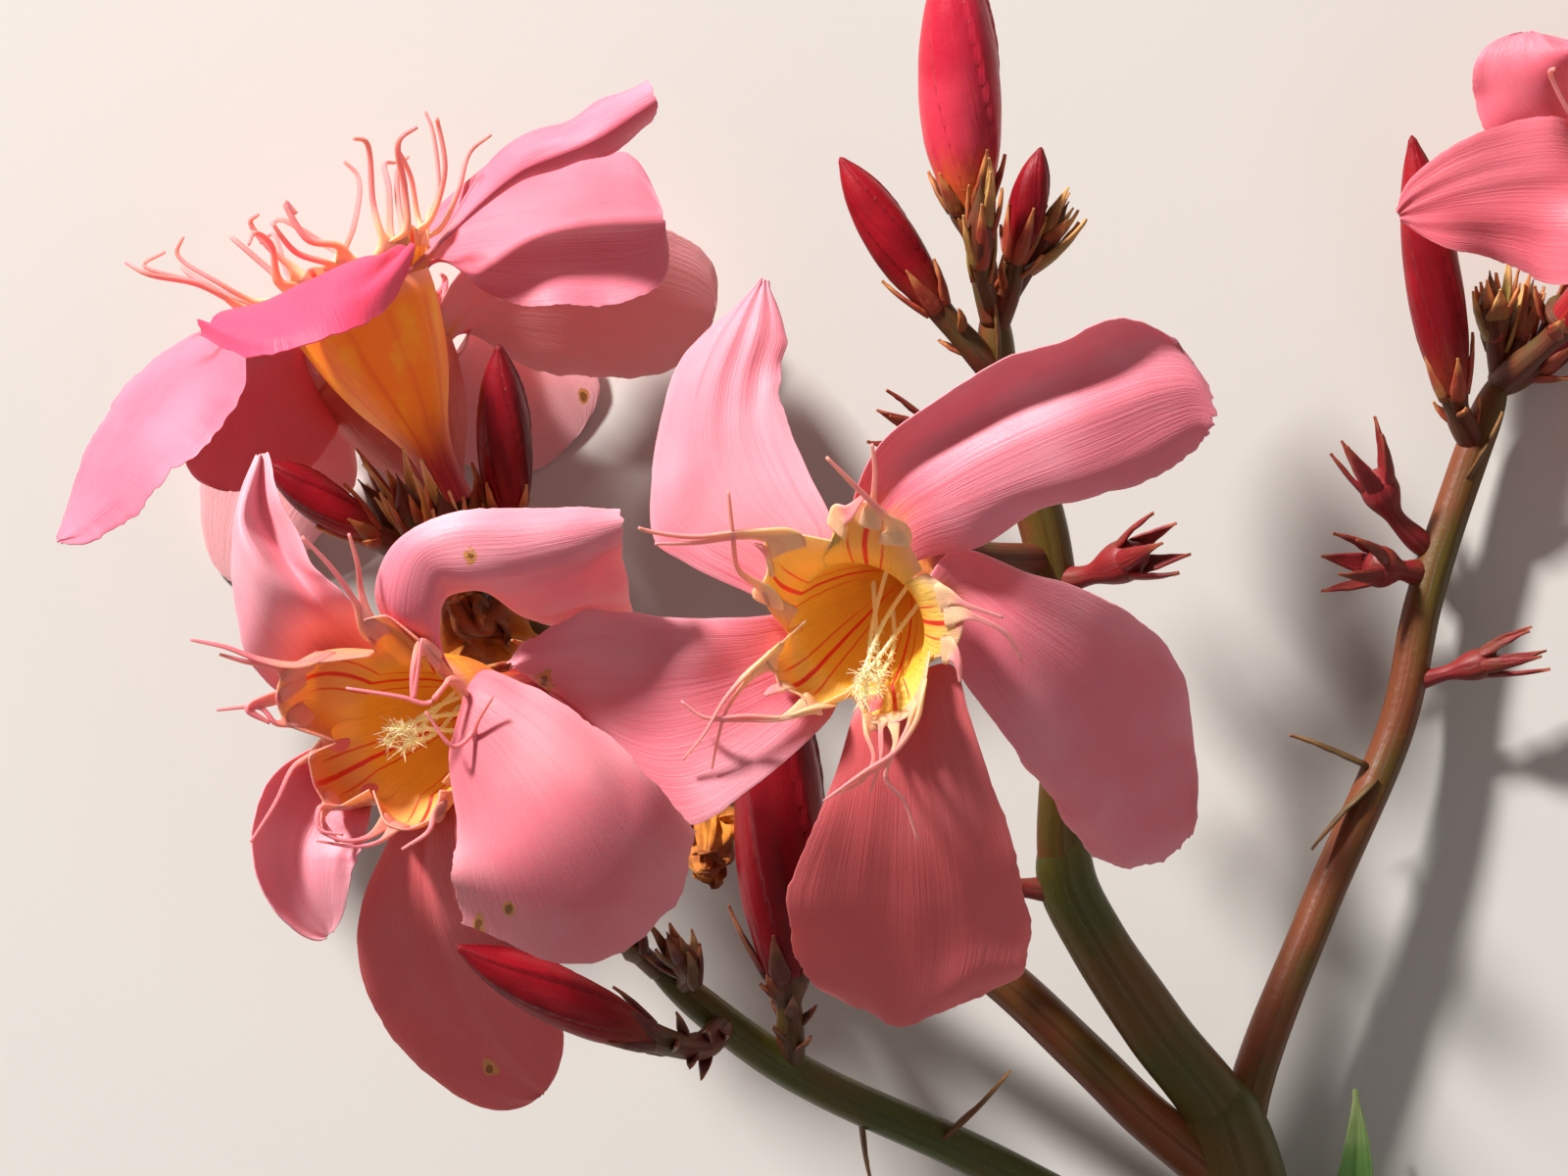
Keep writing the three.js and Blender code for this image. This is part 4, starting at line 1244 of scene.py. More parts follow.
@dataclass(frozen=True)
class DrapedPetal:
    """One petal given by lines from root to end, on the plan, from its anticlockwise side on."""

    lines: tuple[tuple[Spot, ...], ...]
    ruffle: float = 0.4
    ragged: float = 0.16
    # Above 0, tone paints shade on the petal; below 0 it turns the petal to blush.
    tone: float = 0.0

    def blade(self, bloom: "Bloom", index: int, seed: int) -> Drape:
        """The petal as a blade whose lines leave their roots side by side on the rim.

        Args:
            bloom: The bloom it belongs to.
            index: Which of the bloom's petals it is.
            seed: Picks its unevenness.

        Returns:
            The blade.
        """
        ways = bloom.sector(index, np.linspace(-PETAL_ROOT_SPAN, PETAL_ROOT_SPAN, len(self.lines)))
        lead = unit(bloom.axis + math.tan(PETAL_FLARE) * ways)
        roots = bloom.rim + ways * (RIM_RADIUS - 0.5 * FUNNEL_WALL) - lead * PETAL_SINK
        lines = tuple(
            np.vstack([root, *(seen(spot) for spot in line)]) for root, line in zip(roots, self.lines)
        )
        return Drape(lines, ruffle=self.ruffle, ragged=self.ragged, seed=seed)


@dataclass(frozen=True)
class Bloom:
    """An open bloom: a funnel, five petals on its rim, a fringed crown and a tuft of stamens.

    Its first petal stands at turn degrees, and the others follow anticlockwise.
    """

    name: str
    base: Spot
    mouth: Spot
    turn: float
    petals: tuple[Petal | DrapedPetal, ...]
    finish: PetalFinish = PINK
    crown_finish: CrownFinish = CROWN
    funnel_finish: FunnelFinish = FUNNEL
    crown: float = 1.0
    reach: float = 9.0
    margins: tuple[tuple[Spot, ...] | None, ...] = (None,) * PETAL_COUNT
    horns: tuple[tuple[Horn, ...], ...] = ()
    tuft: Spot | None = None
    seed: int = 1

    ROWS = 84
    CELLS = 44
    SEEDS = 31
    STAMEN_ROWS = 16

    @property
    def foot(self) -> Array:
        """The funnel's foot."""
        return seen(self.base)

    @property
    def rim(self) -> Array:
        """The middle of the funnel's mouth."""
        return seen(self.mouth)

    @property
    def axis(self) -> Array:
        """The way the bloom looks."""
        return unit(self.rim - self.foot)

    def across(self) -> tuple[Array, Array]:
        """Two directions across the funnel's axis.

        Returns:
            The one that lies most to the plan's right, and the one a quarter turn on from it.
        """
        right = np.array([1.0, 0.0, 0.0])
        right = unit(right - self.axis * (right @ self.axis))
        return right, np.cross(self.axis, right)

    def sector(self, index: int, v: Array) -> Array:
        """Ways out from the axis across a petal's fifth of the rim.

        Args:
            index: Which petal's fifth it is.
            v: Places across it, clockwise from -1 to 1.

        Returns:
            A direction for each.
        """
        right, up = self.across()
        angle = math.radians(self.turn) + (index - 0.5 * v) / PETAL_COUNT * TURN
        return np.cos(angle)[:, None] * right + np.sin(angle)[:, None] * up

    def build(self, shop: Workshop) -> None:
        """Makes the bloom's four pieces.

        Args:
            shop: Makes the pieces.
        """
        kind = self.name.removeprefix("bloom_")
        shop.piece(f"petals_{kind}", self.petal_shell(), [self.finish], Slot.PETALS, self.name)
        shop.piece(f"funnel_{kind}", self.funnel_shell(), [self.funnel_finish], Slot.PETALS)
        shop.piece(f"crown_{kind}", self.crown_shell(), [self.crown_finish], Slot.PETALS)
        shop.piece(f"stamens_{kind}", self.stamen_shell(), [DOWN], Slot.PETALS)

    def petal_shell(self) -> Shell:
        """All petals, each a closed blade.

        Returns:
            Their mesh.
        """
        shell = Shell()
        for index, petal in enumerate(self.petals):
            blade = petal.blade(self, index, self.SEEDS * self.seed + index)
            blade.add_to(shell, self.ROWS, self.CELLS, part=self.seed + 0.37 * index, tone=petal.tone)
        return shell

    def funnel_shell(self) -> Shell:
        """The funnel: its outer wall from foot to rim, then its inner wall back to the throat.

        The radius follows FUNNEL_RADII by a smooth curve and swells a little in five ribs.

        Returns:
            Its mesh.
        """
        share = np.linspace(0, 1, FUNNEL_ROWS)
        outer = eased(profile(FUNNEL_RADII, share), np.ones(FUNNEL_BLUR))
        depth = np.linspace(1, THROAT_SHARE, THROAT_ROWS)
        inner = np.interp(depth, share, outer) - FUNNEL_INSET
        angle = np.arange(FUNNEL_COLUMNS) / FUNNEL_COLUMNS * TURN
        right, up = self.across()
        way = np.cos(angle)[:, None] * right + np.sin(angle)[:, None] * up
        along = np.concatenate([share, depth])[:, None]
        sector = (angle - math.radians(self.turn)) / TURN * PETAL_COUNT
        rib = FUNNEL_RIB * np.cos(TURN * sector)
        radius = np.concatenate([outer, inner])[:, None] + rib * along
        middle = self.foot + (self.rim - self.foot) * along
        rings = middle[:, None] + radius[..., None] * way
        inside = np.repeat([0.0, 1.0], [FUNNEL_ROWS, THROAT_ROWS])[:, None]
        shell = Shell()
        shell.loft(rings, along=along, across=(sector + PETAL_COUNT)[None, :], inner=inside)
        return shell

    def tongue(self, index: int) -> tuple[Array, Array]:
        """A fifth of the throat's lining and the lobe of the crown that carries it on.

        Up to the rim a point lies on the funnel's wall, LINING_INSET inside it. Past the rim a
        quadratic Bezier leaves the wall and ends on the lobe's margin.

        Args:
            index: Which petal's fifth it is.

        Returns:
            The middle surface, rows by columns, and the way its inner face looks.
        """
        steps = np.linspace(0, 1, LINING_STEPS + 1)
        v = np.linspace(-1, 1, LINING_STEPS + 1)
        ways = self.sector(index, v)
        share = mixed(THROAT_SHARE, 1.0, np.clip(steps / LINING_RIM, 0, 1))
        radius = profile(FUNNEL_RADII, share) - LINING_INSET
        middle = self.foot + (self.rim - self.foot) * share[:, None]
        wall = middle[:, None] + radius[:, None, None] * ways
        rim = wall[-1]
        ends = self.margin(index, v)
        chord = np.linalg.norm(ends - rim, axis=1, keepdims=True)
        leave = rim + unit(self.axis + LOBE_LEAVE * ways) * 0.5 * chord
        s = np.clip((steps - LINING_RIM) / (1 - LINING_RIM), 0, 1)[:, None, None]
        lobe = (1 - s) ** 2 * rim + 2 * s * (1 - s) * leave + s**2 * ends
        points = np.where(steps[:, None, None] < LINING_RIM, wall, lobe)
        lift = unit(np.cross(np.gradient(points, axis=1), np.gradient(points, axis=0)))
        return points, lift

    def margin(self, index: int, v: Array) -> Array:
        """The margin of a tongue: where it is given, else LOBE_REACH past the rim.

        Args:
            index: Which petal's fifth it is in.
            v: Places across it, from -1 to 1.

        Returns:
            A point for each.
        """
        given = self.margins[index]
        if given is None:
            knots = np.array(LOBE_KNOTS)
            ways = self.sector(index, knots)
            out = unit(self.axis + math.tan(SCALE_LEAN) * ways)
            reach = (np.array(LOBE_REACH) * self.crown)[:, None]
            ends = self.rim + ways * (RIM_RADIUS - LINING_INSET) + out * reach
        else:
            ends = np.array([seen(spot) for spot in given])
        weights = np.hanning(LOBE_BLUR)
        return np.stack([eased(np.interp(v, LOBE_KNOTS, values), weights) for values in ends.T], axis=1)

    def crown_shell(self) -> Shell:
        """The throat's lining, its tongues and their horns.

        Returns:
            Their mesh.
        """
        rng = Draw.HORNS.row(self.seed)
        shell = Shell()
        steps = np.linspace(0, 1, LINING_STEPS + 1)[:, None]
        side = np.linspace(-1, 1, LINING_STEPS + 1)[None, :]
        for index in range(PETAL_COUNT):
            points, lift = self.tongue(index)
            skin = LINING_SKIN * np.sqrt(1 - 0.8 * steps**6)
            add_blade(shell, points, lift, skin, steps, side, 0, LINING_PART)
            for horn in self.horns[index] if self.horns else self.grown_horns(index, rng):
                column = round((horn.root + 1) / 2 * LINING_STEPS)
                rows = [round(place * LINING_STEPS) for place in HORN_ROOT_ROWS]
                horn.add_to(shell, points[rows, column], lift[rows[1], column])
        return shell

    def grown_horns(self, index: int, rng: np.random.Generator) -> tuple[Horn, ...]:
        """Seeded horns for one tongue, which curl as they go.

        Args:
            index: Which tongue.
            rng: The bloom's own random numbers.

        Returns:
            Its horns.
        """
        horns = []
        for root in GROWN_HORN_ROOTS:
            radial = self.sector(index, np.array([root]))[0]
            out = leaning(self.axis, radial, SCALE_LEAN + rng.uniform(-0.2, 0.3))
            first = self.rim + radial * (RIM_RADIUS - LINING_INSET) + out * 3.8 * self.crown
            side = np.cross(self.axis, radial) * rng.normal(0, 0.5)
            reach = self.reach * self.crown * rng.uniform(0.45, 0.9)
            last = first + unit(out + side + self.axis * rng.uniform(-0.1, 0.5)) * reach
            curl = last + unit(rng.normal(0, 1, 3) + out) * 0.22 * reach
            knee = mixed(first, last, 0.5) + rng.normal(0, 0.1, 3) * reach
            spots = tuple(tuple(unseen(point)) for point in (first, knee, last, curl))
            wide, thread, narrows = (rng.uniform(*span) for span in ((0.8, 1.2), (0.44, 0.58), (0.35, 0.55)))
            horns.append(Horn(root, spots, wide, thread, narrows))
        return tuple(horns)

    def stamen_shell(self) -> Shell:
        """Five downy threads that twist together out of the throat, with fine hairs on them.

        Returns:
            Their mesh.
        """
        rng = Draw.STAMENS.row(self.seed)
        shell = Shell()
        right, up = self.across()
        deep = mixed(self.foot, self.rim, 0.45)
        top = self.rim + self.axis * 1.6 if self.tuft is None else seen(self.tuft)
        for index in range(PETAL_COUNT):
            turn = index / PETAL_COUNT * TURN + self.turn
            ways = [leaning(right, up, turn + STAMEN_TWIST * step) for step in range(4)]
            knots = np.array([
                deep + ways[0] * 1.9,
                mixed(deep, top, 0.5) + ways[1] * 1.0,
                mixed(deep, top, 0.8) + ways[2] * 0.7,
                top + ways[3] * 0.8 + self.axis * rng.uniform(0, 1.2),
            ])
            strand(shell, knots, STAMEN_RADII, self.STAMEN_ROWS, 0.2 * index)
            self.add_hairs(shell, Path(knots), rng)
        return shell

    def add_hairs(self, shell: Shell, path: Path, rng: np.random.Generator) -> None:
        """Adds down to one thread: short hairs that lean towards its tip, longest near it.

        Args:
            shell: What the hairs become part of.
            path: The thread's own path.
            rng: The bloom's own random numbers.
        """
        share = rng.uniform(0.15, 1.0, DOWN_COUNT) ** 0.7
        points, tangents = path.at(share)
        ways = unit(rng.normal(0, 1, (len(share), 3)) + tangents * 1.3)
        lengths = rng.uniform(0.4, 1.0, len(share)) * (0.35 + 1.2 * share**3)
        for point, way, tangent, length in zip(points, ways, tangents, lengths):
            knee = point + way * 0.5 * length
            end = knee + unit(way + 0.5 * tangent) * 0.5 * length
            strand(shell, np.array([point, knee, end]), DOWN_RADII, 3, 0.5, 4)


FRONT = Bloom(
    "bloom_front", (10, 2.7, 31), (5.2, -2.6, 45), 12,
    (
        DrapedPetal(
            (
                ((11.6, 2.6, 46), (16.7, 1, 46.4), (20.6, -0.2, 46), (24.4, -2.4, 44.4),
                 (27, -5.6, 41.8), (28, -11, 37.6), (28.3, -15.6, 34.6)),
                ((12.2, 1, 45.2), (16.6, -1.2, 45.2), (20.4, -3.4, 44), (23.2, -6.4, 41.6),
                 (25.2, -10, 38.6), (26.2, -14, 35.6), (27, -17.6, 33)),
                ((12, -0.6, 45), (15.4, -3.6, 44.6), (18.6, -6.8, 42.8), (21, -10, 40.2),
                 (22.8, -13.4, 37.2), (24.2, -16.2, 34.8), (25.2, -18.7, 32.8)),
                ((11.7, -2.6, 45.2), (14, -6, 44.8), (16.6, -9.6, 43), (18.8, -12.8, 40.6),
                 (20.6, -15.2, 38), (22, -17.2, 35.6), (23.1, -18.9, 33.4)),
                ((10.9, -4.2, 45.4), (12.4, -6.6, 45), (14.6, -9.6, 43.6), (16.4, -12.2, 41.6),
                 (18.2, -14.4, 39), (19.4, -16.4, 36.8), (21, -18.2, 34.4)),
            ),
            ragged=0.22, tone=0.1,
        ),
        DrapedPetal(
            (
                ((4.9, 6.6, 48.4), (6.4, 9.6, 50), (9.3, 12.1, 51.4), (13.3, 14.5, 52.4),
                 (18, 16.7, 52.6), (22.4, 18.2, 52), (25.6, 17.6, 50.6), (27.6, 15.6, 49.4)),
                ((6.2, 6.2, 47.6), (8.6, 8.8, 48.6), (11.6, 10.8, 49.4), (15.6, 12.8, 50),
                 (20, 14.8, 50.2), (24, 16.2, 50), (27, 16, 49.6), (28.6, 14.2, 49.2)),
                ((7.8, 5.2, 47.6), (10.6, 7, 49.4), (13.8, 8.8, 50.6), (17.8, 10.6, 51),
                 (22, 12.2, 50.8), (25.6, 13.4, 50.2), (28, 13.6, 49.6), (29.2, 12.8, 49.2)),
                ((8.9, 3.8, 47.4), (12, 5, 49.2), (15.6, 6.4, 50.2), (19.6, 7.8, 50.4), (23, 9.2, 50),
                 (26, 10.8, 49.6), (28.2, 11.6, 49.2), (29.2, 11.4, 49)),
                ((10.2, 2.2, 46.6), (13.3, 2.8, 47.8), (17.3, 5.2, 48.6), (21, 6.2, 48.8),
                 (24, 7, 48.6), (26.8, 8.6, 48.4), (28.4, 9.8, 48.4), (29, 10.6, 48.6)),
            ),
            ragged=0.22, tone=-0.12,
        ),
        DrapedPetal((
            ((-2.5, -0.3, 42.6), (-6.7, 1.7, 41.6), (-8.9, 3.4, 41.2), (-9, 8.8, 41), (-6.7, 16, 41),
             (-1.9, 20.9, 41)),
            ((-1, 2.2, 44), (-4.3, 4.8, 43.6), (-6.2, 8.2, 43.4), (-6, 12.8, 43), (-4.2, 17.4, 42.6),
             (-1.6, 21, 41.4)),
            ((1, 3, 45), (-1.6, 6.2, 44.4), (-3.2, 9.8, 44), (-3.2, 13.8, 43.6), (-2.2, 17.6, 43),
             (-1.4, 21, 41.4)),
            ((3.4, 3.8, 46), (1.6, 8, 45.2), (0, 12, 44.4), (-0.3, 14.6, 43.6), (0.2, 17, 42.8),
             (-1, 21, 41.4)),
        )),
        DrapedPetal(
            (
                ((3.4, -8.4, 43.2), (1.4, -10.6, 44.2), (-1.4, -13, 45), (-4.4, -15.2, 45),
                 (-6.6, -16, 44.6), (-9, -13.8, 43.8), (-12.2, -10.4, 43.6), (-15, -7.8, 44)),
                ((1.8, -6.8, 43), (-1, -8.8, 44), (-4.2, -10.8, 45), (-7.6, -11.8, 44.6),
                 (-10.4, -11, 44.2), (-13, -8.8, 44), (-15.4, -7, 44.4), (-16.6, -6.4, 44.8)),
                ((0.4, -5, 43), (-3, -6, 44.2), (-6.6, -6.8, 45.6), (-10, -7, 45), (-13, -6.6, 44.8),
                 (-15.4, -6.2, 45.4), (-17, -5.8, 46.4), (-17.8, -5.8, 46.8)),
                ((0.4, -3.4, 43), (-3, -3.8, 44.4), (-6.6, -4, 45.8), (-10, -3.8, 45.2),
                 (-13, -3.8, 45.2), (-15.6, -4.2, 46.2), (-17.4, -4.8, 47.4), (-18.4, -5.3, 47.8)),
                ((1, -2, 43), (-2.7, -2, 44.4), (-6.7, -2, 45), (-10, -1.6, 44.6), (-13.3, -1.5, 45),
                 (-15.8, -2.6, 46), (-17.6, -3.8, 47), (-18.8, -5, 47.6)),
            ),
            tone=0.1,
        ),
        DrapedPetal(
            (
                ((11.4, -5.2, 45.6), (12.6, -8.6, 45.4), (13.9, -12.6, 44.6), (15.3, -16.6, 43),
                 (16.4, -20.6, 41), (16.7, -24.2, 38.6), (15.4, -26.6, 36.6), (13.4, -28, 35.4)),
                ((9.6, -7, 45.2), (10.4, -11, 45.2), (11.2, -15.4, 44), (12, -20, 41.6),
                 (12.2, -24.4, 38.6), (11.4, -27.4, 36.4), (10.4, -29, 35)),
                ((8, -8.6, 44.8), (8.2, -12.6, 44.6), (8.2, -17, 43), (8.2, -21.4, 40.4),
                 (8.2, -25.4, 37.6), (8.2, -28.2, 35.6), (8.1, -29.8, 34.6)),
                ((6.2, -8.4, 44.8), (5.6, -12.4, 44.6), (5, -16.6, 43.2), (4.4, -20.8, 41),
                 (4.2, -24.4, 38.6), (4.8, -27, 36.6), (5.6, -28.8, 35.2)),
                ((4.9, -8.2, 44.6), (3.7, -12, 44.4), (2.2, -16, 43.6), (0.6, -20.6, 42),
                 (0.5, -24.4, 39.6), (1.6, -26.6, 37.6), (3.4, -28, 36)),
            ),
            ragged=0.22, tone=0.75,
        ),
    ),
    tuft=(5.9, -6.6, 47.0),
    margins=(
        ((9.6, 1.1, 48), (11.2, 0, 49), (11.9, -1.2, 48.8), (12.3, -2.4, 49), (12, -3.4, 48.6),
         (11.5, -4.5, 48), (10.2, -4.6, 47)),
        ((3.9, 3.1, 48), (4, 5.4, 50.2), (4.9, 5.9, 50.6), (5.9, 6, 51), (6.9, 5.3, 50.8),
         (7.9, 4.2, 50.2), (9.5, 1.1, 48)),
        ((1.2, -1.6, 45.4), (-1.6, 0.1, 47.2), (-1, 1.2, 47.6), (-1.2, 2.4, 48.2), (-1.4, 3, 48.6),
         (-0.6, 4, 49), (3.8, 3.1, 48)),
        ((4.8, -6.8, 45), (1.6, -8.4, 46.6), (1.2, -7.2, 46.4), (-0.3, -6.8, 46.8), (-0.6, -5.8, 46.8),
         (-1.4, -4.8, 47), (1.8, -2, 45.4)),
        ((10, -4, 47), (9.4, -7.6, 48), (8.6, -8.6, 47.8), (7.6, -9.2, 47.6), (6.8, -9.2, 47.4),
         (5.9, -9.2, 47.2), (4.8, -6.8, 45)),
    ),
    horns=(
        (
            Horn(-0.45, ((12.6, -1.2, 49.4), (14.9, -2, 49.4))),
            Horn(-0.2, ((12.8, -1.9, 49.2), (15, -3, 49), (16.2, -4.9, 48))),
            Horn(0.55, ((11.8, -4.9, 48.4), (12, -6.4, 48)), 1.0, 0.5, 0.9),
        ),
        (
            Horn(0.55, ((6.6, 5.2, 51.6), (4.6, 7.2, 53), (2.9, 8.9, 54)), 1.1, 0.45, 0.5),
            Horn(0.05, ((6.1, 6.2, 51.6), (6.2, 8, 52.8), (6, 9.8, 53.8)), 0.8, 0.42, 0.5),
            Horn(-0.6, ((4.5, 5.2, 51), (5.4, 6.2, 51.4)), 0.9, 0.7, 1.0),
        ),
        (
            Horn(
                0.62, ((-2.7, 3.8, 49.8), (-6, 3.5, 50.8), (-8.8, 3.8, 51.2), (-9.9, 4.1, 51.6)), 1.2,
                0.42, 0.42,
            ),
            Horn(0.5, ((-2.8, 3.5, 49.6), (-6, 3.1, 50.6), (-8.8, 3.0, 51)), 0.8, 0.4, 0.45),
            Horn(-0.6, ((-3.1, 1.2, 48.4), (-3.5, 3.6, 50), (-3.8, 6.6, 51.4)), 1.2, 0.42, 0.5),
            Horn(0.0, ((-1.5, 2.7, 49), (-2, 3, 49.4)), 0.45, 0.4, 1.0),
        ),
        (
            Horn(
                0.62, ((-2.5, -5.8, 47.4), (-4, -7.5, 47.6), (-5.5, -10, 47), (-6.9, -11.7, 46)), 1.1,
                0.36, 0.5,
            ),
            Horn(
                0.55, ((-2.4, -6.2, 47), (-3.9, -8.3, 47.2), (-4.5, -10.3, 46.6), (-4.9, -12.3, 45.6)),
                0.8, 0.34, 0.5,
            ),
            Horn(
                -0.6, ((0, -8.8, 46.8), (-2.5, -8.7, 47.2), (-5.4, -8.8, 47.2), (-7, -7.7, 47.4)), 1.3,
                0.4, 0.42,
            ),
            Horn(
                -0.5, ((-0.2, -8.9, 46.8), (-2.6, -9, 47), (-5.2, -8.9, 47), (-6.4, -8.3, 46.8)), 0.9,
                0.36, 0.45,
            ),
            Horn(0.0, ((-0.9, -7.1, 47), (-1.3, -7.3, 47.2)), 0.5, 0.5, 1.0),
        ),
        (
            Horn(
                -0.6, ((9.1, -8.8, 48.4), (7.6, -11.1, 48.4), (5.5, -12.5, 48), (2.7, -14.5, 47)), 1.2,
                0.42, 0.45,
            ),
            Horn(-0.4, ((8.4, -9.6, 48), (6.9, -11.9, 48), (4, -13.5, 47.4)), 0.9, 0.4, 0.45),
            Horn(
                0.6, ((5.6, -9.8, 47.6), (6.1, -11.6, 47.8), (5.2, -13.2, 47.4), (3.2, -14.1, 47)), 1.0,
                0.4, 0.5,
            ),
            Horn(0.3, ((6.6, -9.6, 47.6), (6.6, -11.6, 47.8), (5.9, -13.9, 47)), 0.8, 0.38, 0.5),
            Horn(
                0.05, ((7.6, -10.6, 48), (6.9, -12.9, 47.8), (8.2, -14.6, 46.8), (9.1, -17.2, 45.6)),
                0.7, 0.4, 0.4,
            ),
        ),
    ),
)
